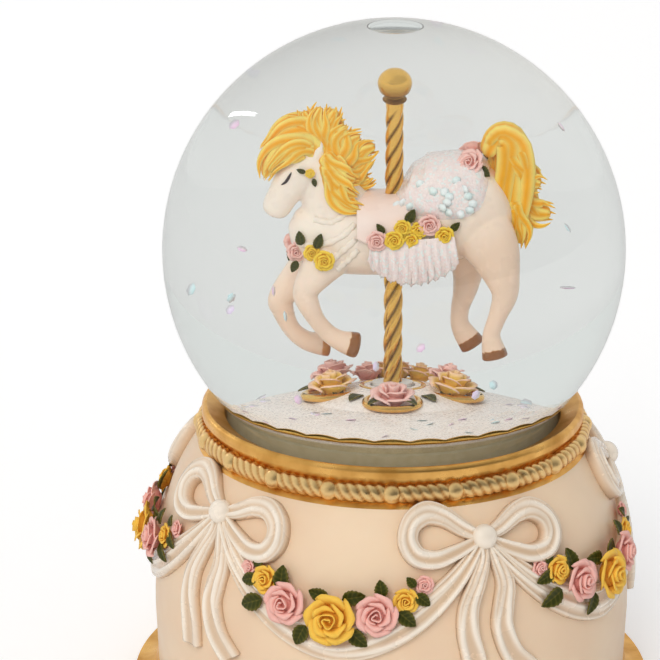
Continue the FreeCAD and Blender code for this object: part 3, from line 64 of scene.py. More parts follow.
class Bloom(Enum):
    """Colours of the moulded roses."""

    PINK = "pink"
    YELLOW = "yellow"


Roses = list[tuple[Bloom, float, float, float, float, float]]


# Surfaces on grids


@dataclass
class Surface:
    """Quads in millimetres, with a tone from 0 to 1 at each point that the finishes read."""

    points: np.ndarray
    quads: np.ndarray
    tone: np.ndarray

    def placed(self, axes: np.ndarray, origin: np.ndarray) -> "Surface":
        """Copy carried to an origin, with its x, y and z along the three rows of axes."""
        return Surface(self.points @ np.asarray(axes) + np.asarray(origin), self.quads, self.tone)

    def turned(self, angle: float) -> "Surface":
        """Copy turned about the upright axis by degrees."""
        cosine, sine = math.cos(math.radians(angle)), math.sin(math.radians(angle))
        return self.placed(np.array([[cosine, sine, 0], [-sine, cosine, 0], [0, 0, 1]]), HERE)

    def flipped(self) -> "Surface":
        """Copy with its faces turned round."""
        return Surface(self.points, self.quads[:, ::-1], self.tone)

    def mirrored(self) -> "Surface":
        """Copy on the other side of the plane y = 0, with its faces turned back outwards."""
        return Surface(self.points * (1, -1, 1), self.quads, self.tone).flipped()

    def paired(self) -> "Surface":
        """The surface together with its mirror copy."""
        return joined([self, self.mirrored()])

    def toned(self, tone: float) -> "Surface":
        """Copy with one tone all over."""
        return Surface(self.points, self.quads, np.full(len(self.points), tone))


def lattice(rows: int, columns: int, ring: bool) -> np.ndarray:
    """Corner numbers of the quads of a grid.

    Args:
        rows: points along the first parameter.
        columns: points along the second parameter.
        ring: whether the last column joins the first.

    Returns:
        Array of quads, four corner numbers each.
    """
    down = np.arange(rows - 1)[:, None] * columns
    here = np.arange(columns if ring else columns - 1)[None, :]
    beside = (here + 1) % columns
    corners = [down + here, down + beside, down + columns + beside, down + columns + here]
    return np.stack(corners, axis=-1).reshape(-1, 4)


def sheet(points: np.ndarray, tone: np.ndarray | float = 0.5, ring: bool = False) -> Surface:
    """Surface over a grid of points.

    Args:
        points: rows x columns x 3 in millimetres.
        tone: numbers that spread to rows x columns.
        ring: whether the columns close on themselves.

    Returns:
        The surface, with faces towards columns x rows.
    """
    rows, columns = points.shape[:2]
    shades = np.broadcast_to(np.asarray(tone, float), (rows, columns))
    return Surface(points.reshape(-1, 3), lattice(rows, columns, ring), shades.reshape(-1).copy())


def joined(surfaces: list[Surface]) -> Surface:
    """One surface out of several, their corner numbers moved up in turn.

    Args:
        surfaces: the surfaces, in order.

    Returns:
        The joined surface.
    """
    starts = np.cumsum([0] + [len(part.points) for part in surfaces[:-1]])
    quads = [part.quads + start for part, start in zip(surfaces, starts)]
    return Surface(np.vstack([part.points for part in surfaces]), np.vstack(quads),
                   np.concatenate([part.tone for part in surfaces]))


def grid(x: np.ndarray | float, y: np.ndarray | float, z: np.ndarray | float) -> np.ndarray:
    """Points from three coordinates that spread to one shape."""
    return np.stack(np.broadcast_arrays(x, y, z), axis=-1)


def polar(reach: np.ndarray | float, turn: np.ndarray | float, height: np.ndarray | float) -> np.ndarray:
    """Points by distance from the upright axis, angle round it and height."""
    return grid(reach * np.cos(turn), reach * np.sin(turn), height)


def full_turn(count: int) -> np.ndarray:
    """Angles of one turn in equal steps, the last of which joins the first."""
    return np.linspace(0, FULL_TURN, count, endpoint=False)


def smooth(stations: Stations | np.ndarray, count: int) -> np.ndarray:
    """Curve through stations: each span is the cubic whose slopes join the stations' neighbours.

    Args:
        stations: rows of numbers, all of which are carried along.
        count: points wanted.

    Returns:
        Array of count rows.
    """
    knots = np.asarray(stations, float)
    knots = np.vstack([2 * knots[0] - knots[1], knots, 2 * knots[-1] - knots[-2]])
    along = np.linspace(0, len(knots) - 3, count)
    span = np.clip(along.astype(int), 0, len(knots) - 4)
    share = (along - span)[:, None]
    before, start, end, after = (knots[span + step] for step in range(4))
    return 0.5 * (2 * start + (end - before) * share + (2 * before - 5 * start + 4 * end - after) * share ** 2
                  + (3 * start - before - 3 * end + after) * share ** 3)


def unit(vectors: np.ndarray) -> np.ndarray:
    """Vectors made one long along their last axis."""
    return vectors / np.maximum(np.linalg.norm(vectors, axis=-1, keepdims=True), 1e-9)


def lathe(profile: Stations | np.ndarray, count: int = 64, around: int = 96) -> Surface:
    """Turned surface: a smooth outline of (radius, height) carried round the upright axis.

    Args:
        profile: stations from the bottom to the top.
        count: points along the outline.
        around: points round the axis.

    Returns:
        The surface, with faces outwards.
    """
    outline = smooth(profile, count)
    radius = np.maximum(outline[:, :1], 0)
    return sheet(polar(radius, full_turn(around), outline[:, 1:]), ring=True)


# Share of a limb's length over which each end closes, and its least radius
LIMB_END = 0.07
LIMB_LEAST = 0.02


def limb(stations: Stations | np.ndarray, count: int = 40, around: int = 28, grooves: int = 0,
         depth: float = 0.0) -> Surface:
    """Tapered form: an oval carried along a smooth path, square to it in the upright plane.

    The oval's radius is one plus depth times the cosine of grooves times the angle round it, and
    both ends close over a quarter of an ellipse.

    Args:
        stations: rows of (x, y, z, half height, half width).
        count: ovals along the path.
        around: points round each oval.
        grooves: flutes round the form.
        depth: share of the radius that the flutes take.

    Returns:
        The closed surface, its tone high on the flutes' crests and low in their grooves as painted shade.
    """
    path = smooth(stations, count)
    heading = np.gradient(path[:, :3], axis=0)
    heading[:, 1] = 0
    heading = unit(heading)
    rise = grid(-heading[:, 2], 0.0, heading[:, 0])
    near_end = np.minimum(np.linspace(0, 1, count), np.linspace(1, 0, count)) / LIMB_END
    ends = np.sqrt(1 - (1 - np.clip(near_end, 0, 1)) ** 2)
    turn = full_turn(around)
    flute = 1 + depth * np.cos(grooves * turn)
    tall = (ends * np.maximum(path[:, 3], LIMB_LEAST))[:, None] * np.sin(turn) * flute
    wide = (ends * np.maximum(path[:, 4], LIMB_LEAST))[:, None] * np.cos(turn) * flute
    points = path[:, None, :3] + tall[..., None] * rise[:, None] + grid(0.0, wide, 0.0)
    # Painted shade: the tone is lowest in the flutes' grooves and highest on their crests.
    return sheet(points, 0.5 + 0.5 * np.cos(grooves * turn), ring=True)


def rod(path: np.ndarray, radius: np.ndarray, around: int = 12) -> Surface:
    """Round wire along a path: a circle square to it, its first side kept level, its ends closed.

    Args:
        path: points in millimetres.
        radius: one radius for each point.
        around: points round the wire.

    Returns:
        The closed surface.
    """
    heading = unit(np.gradient(path, axis=0))
    level = np.cross(heading, UP)
    level = unit(np.where(np.linalg.norm(level, axis=1, keepdims=True) < 1e-4, (1.0, 0.0, 0.0), level))
    rise = np.cross(level, heading)
    size = radius.copy()
    size[[0, -1]] = 0
    turn = full_turn(around)[:, None]
    ring = np.cos(turn) * level[:, None] + np.sin(turn) * rise[:, None]
    return sheet(path[:, None] + size[:, None, None] * ring, ring=True)


def ball(centre: np.ndarray, radius: float, rows: int = 12, columns: int = 18,
         squash: float = 1.0) -> Surface:
    """Sphere by latitude and longitude.

    Args:
        centre: its middle.
        radius: its radius.
        rows: points from pole to pole.
        columns: points round it.
        squash: share of its height that is left.

    Returns:
        The closed surface.
    """
    up = np.linspace(-math.pi / 2, math.pi / 2, rows)[:, None]
    points = polar(np.cos(up), full_turn(columns), squash * np.sin(up))
    return sheet(centre + radius * points, ring=True)


def flake(spot: np.ndarray, tilt: np.ndarray, size: float = 1.0) -> Surface:
    """Hexagon about a spot.

    Args:
        spot: its middle.
        tilt: the way that it faces.
        size: its radius.

    Returns:
        The flat surface.
    """
    out = unit(tilt)
    side = unit(np.cross(out, (0.3, 0.5, 0.8)))
    rim = polar(np.array([[0.0], [size]]), full_turn(6), 0.0)
    return sheet(rim, ring=True).placed(np.array([side, np.cross(out, side), out]), spot)


# Roses and leaves


@dataclass(frozen=True)
class PetalRing:
    """Ring of petals in a rose whose radius is one.

    A petal is a sheet over (up, across). Its angle grows with across, its distance from the axis
    with a power of up, its lip rolls outwards at the top, its corners sink with the cube of across,
    and one side stands further out than the other.
    """

    number: int
    base: float
    top: float
    floor: float
    crest: float
    width: float
    shift: float
    flare: float = 1.7
    overlap: float = 0.13
    lip_from: float = 0.72
    lip_roll: float = 0.09
    lip_curl: float = 0.12
    lip_dip: float = 0.12
    lip_wave: float = 0.03
    corner_drop: float = 0.20

    def petal(self, step: int) -> Surface:
        """One petal of the ring.

        Args:
            step: its place in the ring.

        Returns:
            The open sheet, its tone rising from the throat to the lip, and lowered as painted shade on the
            side that tucks in behind the next petal.
        """
        across = np.linspace(-1, 1, 11)[None, :]
        up = np.linspace(0, 1, 8)[:, None]
        lip = np.clip((up - self.lip_from) / (1 - self.lip_from), 0, 1) ** 2
        middle = FULL_TURN * step / self.number + self.shift
        angle = middle + self.width * across * (0.55 + 0.45 * np.sqrt(up))
        roll = self.lip_roll - self.lip_curl * across ** 2 + self.lip_wave * np.cos(7 * across + 2 * step)
        opening = self.base + (self.top - self.base) * up ** self.flare
        reach = opening + self.overlap * across * up + lip * roll
        droop = self.lip_dip * lip + self.corner_drop * np.abs(across) ** 3 * up
        height = self.floor + (self.crest - self.floor) * up - droop
        # Painted shade: the side of the petal that lies behind its neighbour is darkened.
        tone = 0.1 + 0.9 * up ** 1.5 * (1 - 0.5 * np.clip(-across, 0, 1) ** 2)
        return sheet(polar(reach, angle, height), tone)


PETAL_RINGS = (
    PetalRing(4, 0.34, 0.60, 0.22, 0.86, 1.05, 0.3),
    PetalRing(5, 0.50, 0.96, 0.08, 0.62, 0.86, 0.0),
)
HEART_TURNS = 1.6
ROSE_CUP = [(0.0, 0.0), (0.40, 0.02), (0.50, 0.16), (0.50, 0.32), (0.34, 0.46), (0.0, 0.55)]
CUP_TONE = 0.25


def heart() -> Surface:
    """Heart of a rose whose radius is one: a wall on a spiral that sinks as it winds out.

    Returns:
        The open sheet, its tone rising to the waved lip.
    """
    wind = np.linspace(0, 1, 46)[:, None]
    up = np.linspace(0, 1, 5)[None, :]
    angle = FULL_TURN * HEART_TURNS * wind
    reach = 0.05 + 0.30 * wind + (0.05 + 0.04 * np.sin(3 * angle)) * up
    height = 0.35 + up * (0.62 - 0.13 * wind)
    return sheet(polar(reach, angle, height), 0.15 + 0.75 * up)


def rose(radius: float, spin: float = 0.0) -> Surface:
    """Moulded rose that opens along z from the plane z = 0: heart, rings of petals and turned cup.

    Args:
        radius: outer radius in millimetres.
        spin: degrees that the whole rose is turned.

    Returns:
        The surface, its tone rising from the throat to the lips.
    """
    petals = [ring.petal(step) for ring in PETAL_RINGS for step in range(ring.number)]
    cup = lathe(ROSE_CUP, 12, 20).toned(CUP_TONE)
    return joined([heart(), *petals, cup]).placed(radius * np.eye(3), HERE).turned(spin)


LEAF_TEETH = 6
LEAF_RIBS = 5
LEAF_CURL = 0.18
LEAF_STALK = 0.16


def leaf(length: float, width: float) -> Surface:
    """Leaf from the origin along x, over (along, across).

    Its half width is a skewed arch with small teeth, it folds up from the midrib, bends down
    towards the tip, and ribs run out from the midrib at a slant.

    Args:
        length: from stalk to tip.
        width: widest breadth.

    Returns:
        The surface, its tone rising to the ribs and the rim.
    """
    along = np.linspace(0, 1, 22)[:, None]
    across = np.linspace(-1, 1, 13)[None, :]
    away = np.abs(across)
    teeth = 1 + 0.07 * np.cos(FULL_TURN * LEAF_TEETH * along) * away
    half = 0.5 * width * np.sin(math.pi * along ** 0.75) ** 0.7 * teeth
    rib = np.cos(FULL_TURN * LEAF_RIBS * (along - 0.16 * away))
    bend = 0.10 * away * np.sin(math.pi * along) - LEAF_CURL * along ** 2
    height = length * bend + width * (LEAF_STALK + 0.05 * rib * away * (1 - away))
    tone = 0.25 * np.clip(rib, 0, 1) + 0.55 * away ** 4 + 0.35 * np.exp(-(across / 0.1) ** 2)
    return sheet(grid(length * along, half * across, height), np.clip(tone, 0, 1))


# Pieces


# Points this close in metres are one point
MERGE_WITHIN = 1e-7


def piece(name: str, surface: Surface, finish: "Finish", carrier: Carrier, nodes: tuple[str, ...] = (),
          wall: float = 0.0, closed: bool = True) -> bpy.types.Object:
    """Blender object out of a surface, dressed and set on its body.

    Args:
        name: piece name.
        surface: shape in millimetres.
        finish: its finish.
        carrier: body that it rides on.
        nodes: solids that it stands for.
        wall: thickness for an open sheet, in millimetres.
        closed: whether the faces are turned outwards.

    Returns:
        The object.
    """
    mesh = bpy.data.meshes.new(name)
    mesh.vertices.add(len(surface.points))
    mesh.vertices.foreach_set("co", (surface.points * MM).astype(np.float32).ravel())
    mesh.loops.add(surface.quads.size)
    mesh.loops.foreach_set("vertex_index", surface.quads.astype(np.int32).ravel())
    mesh.polygons.add(len(surface.quads))
    mesh.polygons.foreach_set("loop_start", np.arange(0, surface.quads.size, 4, dtype=np.int32))
    mesh.attributes.new("tone", "FLOAT", "POINT").data.foreach_set("value", surface.tone.astype(np.float32))
    mesh.update(calc_edges=True)
    mesh.validate()
    work = bmesh.new()
    work.from_mesh(mesh)
    bmesh.ops.remove_doubles(work, verts=work.verts, dist=MERGE_WITHIN)
    if closed:
        bmesh.ops.recalc_face_normals(work, faces=work.faces)
    work.to_mesh(mesh)
    work.free()
    mesh.polygons.foreach_set("use_smooth", np.ones(len(mesh.polygons), bool))
    thing = bpy.data.objects.new(name, mesh)
    bpy.context.scene.collection.objects.link(thing)
    if wall:
        solid = thing.modifiers.new("wall", "SOLIDIFY")
        solid.thickness = wall * MM
        solid.offset = 0.0
    mesh.materials.append(finish.material())
    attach(thing, carrier.value)
    if nodes:
        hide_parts(*nodes)
    LOG.info("%s: %d faces on %s", name, len(mesh.polygons), carrier.value)
    return thing


# Finishes


# Height of a relief and depth of light in soft resin, both in metres,
# then the spread of that light by colour and the gloss of a coat
RELIEF_DEPTH = 0.0004
SOFT_DEPTH = 0.0015
SOFT_SPREAD = (0.8, 0.5, 0.35)
COAT_ROUGHNESS = 0.12


class Nodes:
    """Shader nodes of one tree."""

    def __init__(self, tree: bpy.types.NodeTree) -> None:
        """Keep the tree."""
        self.tree = tree

    def fill(self, node: bpy.types.Node, inputs: dict[str | int, object]) -> None:
        """Give a node its inputs.

        Args:
            node: the node.
            inputs: by socket, an output that leads into it, or else its constant.
        """
        for socket, value in inputs.items():
            if isinstance(value, bpy.types.NodeSocket):
                self.tree.links.new(value, node.inputs[socket])
            else:
                node.inputs[socket].default_value = value

    def node(self, kind: str, inputs: dict[str | int, object] | None = None,
             **settings: object) -> bpy.types.Node:
        """New node.

        Args:
            kind: the node's type.
            inputs: its inputs by socket.
            settings: its properties by name.

        Returns:
            The node.
        """
        made = self.tree.nodes.new(kind)
        for name, value in settings.items():
            setattr(made, name, value)
        self.fill(made, inputs or {})
        return made

    def number(self, operation: str, *inputs: object) -> bpy.types.NodeSocket:
        """Greatest, product or the like of outputs and constants."""
        return self.node("ShaderNodeMath", dict(enumerate(inputs)), operation=operation).outputs[0]

    def rescaled(self, source: bpy.types.NodeSocket, low: float, high: float, start: float = 0.0,
                 end: float = 1.0) -> bpy.types.NodeSocket:
        """Number carried from one range to another.

        Args:
            source: the number.
            low: what start becomes.
            high: what end becomes.
            start: low end of the old range.
            end: high end of the old range.

        Returns:
            The new number.
        """
        inputs = {"Value": source, "From Min": start, "From Max": end, "To Min": low, "To Max": high}
        return self.node("ShaderNodeMapRange", inputs).outputs["Result"]


class Wiring(Nodes):
    """Shader nodes of one material round its main shader."""

    def __init__(self, material: bpy.types.Material) -> None:
        """Keep the tree, its main shader and the way out.

        Args:
            material: the material, fresh or already wired.
        """
        super().__init__(material.node_tree)
        self.shader = self.tree.nodes["Principled BSDF"]
        self.surface = self.tree.nodes["Material Output"].inputs["Surface"]

    def place(self) -> bpy.types.NodeSocket:
        """Object coordinates."""
        return self.node("ShaderNodeTexCoord").outputs["Object"]

    def tone(self) -> bpy.types.NodeSocket:
        """The piece's own tone."""
        return self.node("ShaderNodeAttribute", attribute_name="tone").outputs["Fac"]

    def noise(self, scale: float, detail: float) -> bpy.types.NodeSocket:
        """Cloudy pattern with about scale lumps a metre."""
        inputs = {"Scale": scale, "Detail": detail, "Vector": self.place()}
        return self.node("ShaderNodeTexNoise", inputs).outputs["Fac"]

    def cells(self, scale: float) -> bpy.types.Node:
        """Cell pattern with about scale cells a metre."""
        return self.node("ShaderNodeTexVoronoi", {"Scale": scale, "Vector": self.place()})

    def blend(self, share: bpy.types.NodeSocket, low: Colour, high: Colour, start: float = 0.3,
              end: float = 0.7, between: tuple[tuple[float, Colour], ...] = ()) -> bpy.types.NodeSocket:
        """Ramp of colours.

        Args:
            share: number that the ramp follows.
            low: colour up to start.
            high: colour from end.
            start: where the low colour ends.
            end: where the high colour begins.
            between: more places and colours.

        Returns:
            The colour.
        """
        ramp = self.node("ShaderNodeValToRGB", {"Fac": share})
        first, last = ramp.color_ramp.elements
        first.position, first.color = start, (*low, 1)
        last.position, last.color = end, (*high, 1)
        for position, colour in between:
            ramp.color_ramp.elements.new(position).color = (*colour, 1)
        return ramp.outputs["Color"]

    def mixed(self, share: object, low: bpy.types.NodeSocket, high: bpy.types.NodeSocket,
              kind: str = "MIX") -> bpy.types.NodeSocket:
        """Two colours in one.

        Args:
            share: how far the second colour counts, an output or a constant.
            low: the first colour.
            high: the second colour.
            kind: way of mixing.

        Returns:
            The colour.
        """
        inputs = {"Factor": share, "A": low, "B": high}
        return self.node("ShaderNodeMix", inputs, data_type="RGBA", blend_type=kind).outputs["Result"]

    def uneven(self, source: bpy.types.NodeSocket, middle: float, spread: float) -> bpy.types.NodeSocket:
        """Roughness that wanders about a middle with a pattern."""
        return self.rescaled(source, max(0.02, middle - spread), min(1.0, middle + spread), 0.3, 0.7)

    def relief(self, source: bpy.types.NodeSocket, strength: float) -> bpy.types.NodeSocket:
        """Fine relief from a pattern."""
        inputs = {"Height": source, "Strength": strength, "Distance": RELIEF_DEPTH}
        return self.node("ShaderNodeBump", inputs).outputs["Normal"]


@dataclass(frozen=True)
class Finish:
    """Coated or bare material whose colour wanders between two shades over the surface."""

    name: str
    slot: str
    colour: Colour
    second: Colour
    roughness: float = 0.4
    metallic: float = 0.0
    grain: float = 120.0
    bump: float = 0.05
    coat: float = 0.0
    sheen: float = 0.0
    soft: float = 0.0
    gloss: float = 0.5

    def material(self) -> bpy.types.Material:
        """The material, made once and then shared.

        Returns:
            The material.
        """
        label = f"finish_{self.name}"
        known = bpy.data.materials.get(label)
        if known:
            return known
        made = bpy.data.materials.new(label)
        made.use_nodes = True
        self.wire(Wiring(made))
        return made

    def wire(self, wiring: Wiring) -> None:
        """Two shades that follow a cloud, which the roughness follows too.

        Args:
            wiring: nodes of the material.
        """
        noise = wiring.noise(self.grain, 4.0)
        self.cover(wiring, wiring.blend(noise, self.colour, self.second),
                   wiring.uneven(noise, self.roughness, 0.12), wiring.noise(self.grain * 6, 3.0))

    def cover(self, wiring: Wiring, colour: bpy.types.NodeSocket, roughness: bpy.types.NodeSocket,
              pattern: bpy.types.NodeSocket) -> None:
        """Fill the main shader.

        Args:
            wiring: nodes of the material.
            colour: its colour.
            roughness: its roughness.
            pattern: height of its relief.
        """
        wiring.fill(wiring.shader, {
            "Base Color": colour, "Roughness": roughness, "Normal": wiring.relief(pattern, self.bump),
            "Metallic": self.metallic, "Specular IOR Level": self.gloss, "Coat Weight": self.coat,
            "Coat Roughness": COAT_ROUGHNESS, "Sheen Weight": self.sheen, "Subsurface Weight": self.soft,
            "Subsurface Radius": SOFT_SPREAD, "Subsurface Scale": SOFT_DEPTH})


@dataclass(frozen=True)
class TonedFinish(Finish):
    """Finish whose colour follows the piece's tone, broken up by a fine cloud."""

    start: float = 0.1
    end: float = 0.9
    between: tuple[tuple[float, Colour], ...] = ()

    def wire(self, wiring: Wiring) -> None:
        """Tone from the first colour by way of those between to the second.

        Args:
            wiring: nodes of the material.
        """
        noise = wiring.noise(self.grain, 3.0)
        shade = wiring.blend(wiring.tone(), self.colour, self.second, self.start, self.end, self.between)
        cloud = wiring.blend(noise, (0.93, 0.93, 0.93), (1.0, 1.0, 1.0))
        self.cover(wiring, wiring.mixed(1.0, shade, cloud, "MULTIPLY"),
                   wiring.uneven(noise, self.roughness, 0.1), wiring.noise(self.grain * 5, 2.0))


@dataclass(frozen=True)
class PetalFinish(TonedFinish):
    """Matt moulded petals, deep in the throat and pale at the lips."""

    roughness: float = 0.5
    grain: float = 700.0
    bump: float = 0.06
    soft: float = 0.1
    gloss: float = 0.2
    start: float = 0.05
    end: float = 0.65


@dataclass(frozen=True)
class PaintedSheenFinish(Finish):
    """Painted sheen: the body colour turns to a second one where the surface slants away."""

    def wire(self, wiring: Wiring) -> None:
        """Painted sheen: slant from the first colour to the second.

        Args:
            wiring: nodes of the material.
        """
        facing = wiring.node("ShaderNodeLayerWeight", {"Blend": 0.35}).outputs["Facing"]
        self.cover(wiring, wiring.blend(facing, self.colour, self.second, 0.1, 0.9),
                   wiring.uneven(wiring.noise(self.grain, 3.0), self.roughness, 0.08),
                   wiring.noise(self.grain * 3, 3.0))


@dataclass(frozen=True)
class FrostFinish(Finish):
    """Pearl with iridescent flecks: each small cell takes its own pale hue, and a few are bright."""

    pink: Colour = (0.98, 0.70, 0.80)
    lilac: Colour = (0.90, 0.84, 0.98)
    aqua: Colour = (0.72, 0.95, 0.93)

    def wire(self, wiring: Wiring) -> None:
        """Tinted cells over the two body colours, with a crumpled relief.

        Args:
            wiring: nodes of the material.
        """
        body = wiring.blend(wiring.noise(self.grain * 0.4, 3.0), self.colour, self.second)
        cells = wiring.cells(self.grain).outputs
        hue = wiring.blend(cells["Color"], self.pink, self.aqua, 0.2, 0.8, ((0.5, self.lilac),))
        chosen = wiring.rescaled(cells["Color"], 0.0, 0.5, 0.6, 0.8)
        self.cover(wiring, wiring.mixed(chosen, body, hue),
                   wiring.uneven(cells["Color"], self.roughness, 0.15), cells["Distance"])


@dataclass(frozen=True)
class SnowFinish(Finish):
    """White glitter snow: fine crystals, each with its own brightness, over a wall whose olive gold is
    painted reflection of the gilt collar.
    """

    # Olive gold of the wall under the snow: painted reflection of the gilt collar, with a darker copy in
    # patches.
    wall: Colour = (0.42, 0.35, 0.21)
    shaded_wall: Colour = (0.336, 0.28, 0.168)
    wall_top: float = 0.0728
    wall_fade: float = 0.0008

    def wire(self, wiring: Wiring) -> None:
        """Cells of slightly different white above the wall, rough ones among smooth ones.

        Args:
            wiring: nodes of the material.
        """
        cells = wiring.cells(self.grain).outputs
        crystals = wiring.blend(cells["Color"], self.second, self.colour, 0.1, 0.6)
        height = wiring.node("ShaderNodeSeparateXYZ", {"Vector": wiring.place()}).outputs["Z"]
        above = wiring.rescaled(height, 0.0, 1.0, self.wall_top - self.wall_fade, self.wall_top)
        under = wiring.blend(wiring.noise(self.grain * 0.1, 2.0), self.wall, self.shaded_wall)
        self.cover(wiring, wiring.mixed(above, under, crystals),
                   wiring.uneven(cells["Color"], self.roughness, 0.3), cells["Distance"])


@dataclass(frozen=True)
class GlassFinish(Finish):
    """Clear wall that bends light and lets lamps shine through."""

    ior: float = 1.5

    def wire(self, wiring: Wiring) -> None:
        """Glass to the eye, and nothing to light that is on its way to or from the things inside.

        Args:
            wiring: nodes of the material.
        """
        bend = {"Color": (*self.colour, 1), "Roughness": 0.0, "IOR": self.ior}
        glass = wiring.node("ShaderNodeBsdfGlass", bend)
        clear = wiring.node("ShaderNodeBsdfTransparent", {"Color": (*self.second, 1)})
        path = wiring.node("ShaderNodeLightPath").outputs
        lighting = wiring.number("MAXIMUM", path["Is Shadow Ray"], path["Is Diffuse Ray"])
        mix = wiring.node("ShaderNodeMixShader", {"Fac": lighting, 1: glass.outputs[0], 2: clear.outputs[0]})
        wiring.tree.links.new(mix.outputs[0], wiring.surface)
        wiring.tree.nodes.remove(wiring.shader)


RESIN = Finish("cream_resin", "cast_resin", (0.90, 0.70, 0.49), (0.84, 0.62, 0.43), 0.42, grain=45, bump=0.04,
               coat=0.12, soft=0.15)
GILT = Finish("antique_gilt", "gilt", (1.0, 0.56, 0.16), (0.72, 0.36, 0.08), 0.36, 1.0, grain=160, bump=0.12)
# Rope gilt: the dark brown low end is painted shade in the valleys between strands and at the nips, the pale
# gold the crests and beads.
ROPE_GILT = TonedFinish("rope_gilt", "gilt", (0.60, 0.27, 0.07), (1.0, 0.68, 0.30), 0.34, 1.0, grain=300,
                        bump=0.1, start=0.05, end=0.75)
BRIGHT_GILT = Finish("bright_gilt", "gilt", (0.90, 0.56, 0.16), (0.76, 0.42, 0.10), 0.16, 1.0, grain=200,
                     bump=0.08)
# Pole gilt: the near-black brown low end is painted shade, in the pole's grooves and on the lower part of the
# ball.
TWIST_GILT = TonedFinish("twist_gilt", "gilt", (0.15, 0.05, 0.004), (0.96, 0.57, 0.13), 0.16, 0.8, grain=300,
                         bump=0.06, start=0.05, end=0.7)
# Ribbon: the brown-orange low end is painted shade in the satin's valleys, the cream high end painted
# highlight on its folds.
RIBBON = TonedFinish("pearl_ribbon", "pearl_ribbon", (0.72, 0.48, 0.28), (1.0, 0.89, 0.75), 0.26, 0.1,
                     grain=180, bump=0.03, coat=0.5, start=0.0, end=0.72)
PINK = PetalFinish("pink_petal", "pink_petal", (0.58, 0.16, 0.13), (0.98, 0.54, 0.47))
YELLOW = PetalFinish("yellow_petal", "yellow_petal", (0.70, 0.24, 0.01), (1.0, 0.60, 0.09))
TEA = PetalFinish("tea_petal", "yellow_petal", (0.92, 0.44, 0.02), (1.0, 0.66, 0.50), end=0.95,
                  between=((0.6, (1.0, 0.72, 0.15)),))
BLUSH = PetalFinish("blush_petal", "pink_petal", (0.72, 0.25, 0.20), (1.0, 0.64, 0.57))
AMBER = PetalFinish("amber_petal", "yellow_petal", (0.84, 0.32, 0.004), (1.0, 0.70, 0.08))
LEAF = TonedFinish("leaf_green", "leaf_green", (0.036, 0.043, 0.003), (0.20, 0.165, 0.03), 0.45, grain=900,
                   bump=0.08, gloss=0.2)
# Snow: white glitter whose warm tint is painted reflection of the cream and gold round it.
SNOW = SnowFinish("glitter_snow", "snow", (0.97, 0.91, 0.85), (0.90, 0.83, 0.77), 0.45, grain=2600, bump=0.16)
GLASS = GlassFinish("globe_glass", "clear_glass", (0.985, 0.992, 0.987), (1.0, 1.0, 1.0), ior=1.5)
GLASS_WATER = GlassFinish("glass_to_water", "clear_glass", (0.985, 0.992, 0.987), (1.0, 1.0, 1.0), ior=1.125)
BUBBLE = GlassFinish("air_bubble", "clear_glass", (1.0, 1.0, 1.0), (1.0, 1.0, 1.0), ior=0.752)
# Horse: browns for the hooves; the peach stops carry the body's painted shade, darker lower down and towards
# the rump.
HORSE = TonedFinish("horse_pearl", "horse_white", (0.24, 0.08, 0.012), (1.0, 0.88, 0.76), 0.3, grain=200,
                    bump=0.03, coat=0.4, soft=0.2, start=0.0, end=1.0,
                    between=((0.18, (0.62, 0.26, 0.05)), (0.3, (0.80, 0.55, 0.37)),
                             (0.6, (0.96, 0.76, 0.60))))
# Hair gold: the deep orange low end is painted shade in the grooves of the locks, the pale gold their crests.
MANE = TonedFinish("golden_hair", "horse_gold", (0.98, 0.43, 0.012), (1.0, 0.76, 0.19), 0.5, grain=500,
                   bump=0.1, soft=0.15, gloss=0.25)
SADDLE = Finish("peach_saddle", "saddle_peach", (0.95, 0.73, 0.63), (0.97, 0.82, 0.74), 0.32, grain=150,
                bump=0.05, coat=0.3)
BLANKET = FrostFinish("pearl_blanket", "horse_white", (0.96, 0.85, 0.80), (0.92, 0.77, 0.75), 0.25,
                      grain=2400, bump=0.22, coat=0.6)
SEQUIN = FrostFinish("sequin", "pearl_ribbon", (0.97, 0.97, 0.99), (0.80, 0.95, 0.90), 0.12, grain=900,
                     coat=1.0)
LASH = Finish("dark_lashes", "flower_mix", (0.03, 0.02, 0.02), (0.05, 0.03, 0.03), 0.5, grain=900)
STEEL = Finish("turned_steel", "steel", (0.62, 0.63, 0.65), (0.50, 0.51, 0.53), 0.28, 1.0, grain=300)
BRASS = Finish("movement_brass", "brass_works", (0.75, 0.52, 0.20), (0.62, 0.41, 0.14), 0.3, 1.0, grain=260)
ZINC = Finish("cast_zinc", "zinc_cast", (0.48, 0.49, 0.50), (0.40, 0.41, 0.42), 0.45, 1.0, grain=400,
              bump=0.1)
BLACK = Finish("black_plastic", "black_plastic", (0.03, 0.03, 0.032), (0.045, 0.045, 0.048), 0.5, grain=900,
               bump=0.1)
WHITE = Finish("white_plastic", "white_plastic", (0.82, 0.81, 0.78), (0.76, 0.75, 0.72), 0.45, grain=300)
RUBBER = Finish("stopper_rubber", "stopper_rubber", (0.46, 0.41, 0.27), (0.40, 0.35, 0.22), 0.7, grain=500,
                bump=0.1)
FELT = Finish("green_felt", "felt", (0.05, 0.11, 0.07), (0.03, 0.08, 0.05), 0.95, grain=1500, bump=0.6,
              sheen=0.4)


@dataclass(frozen=True)
class SolidDressing:
    """Finish for solids that stay as they are."""

    finish: Finish
    nodes: tuple[str, ...]

    def dress(self) -> None:
        """Put the finish in the solids' material slots."""
        for name in self.nodes:
            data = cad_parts[name].data
            data.materials.clear()
            data.materials.append(self.finish.material())


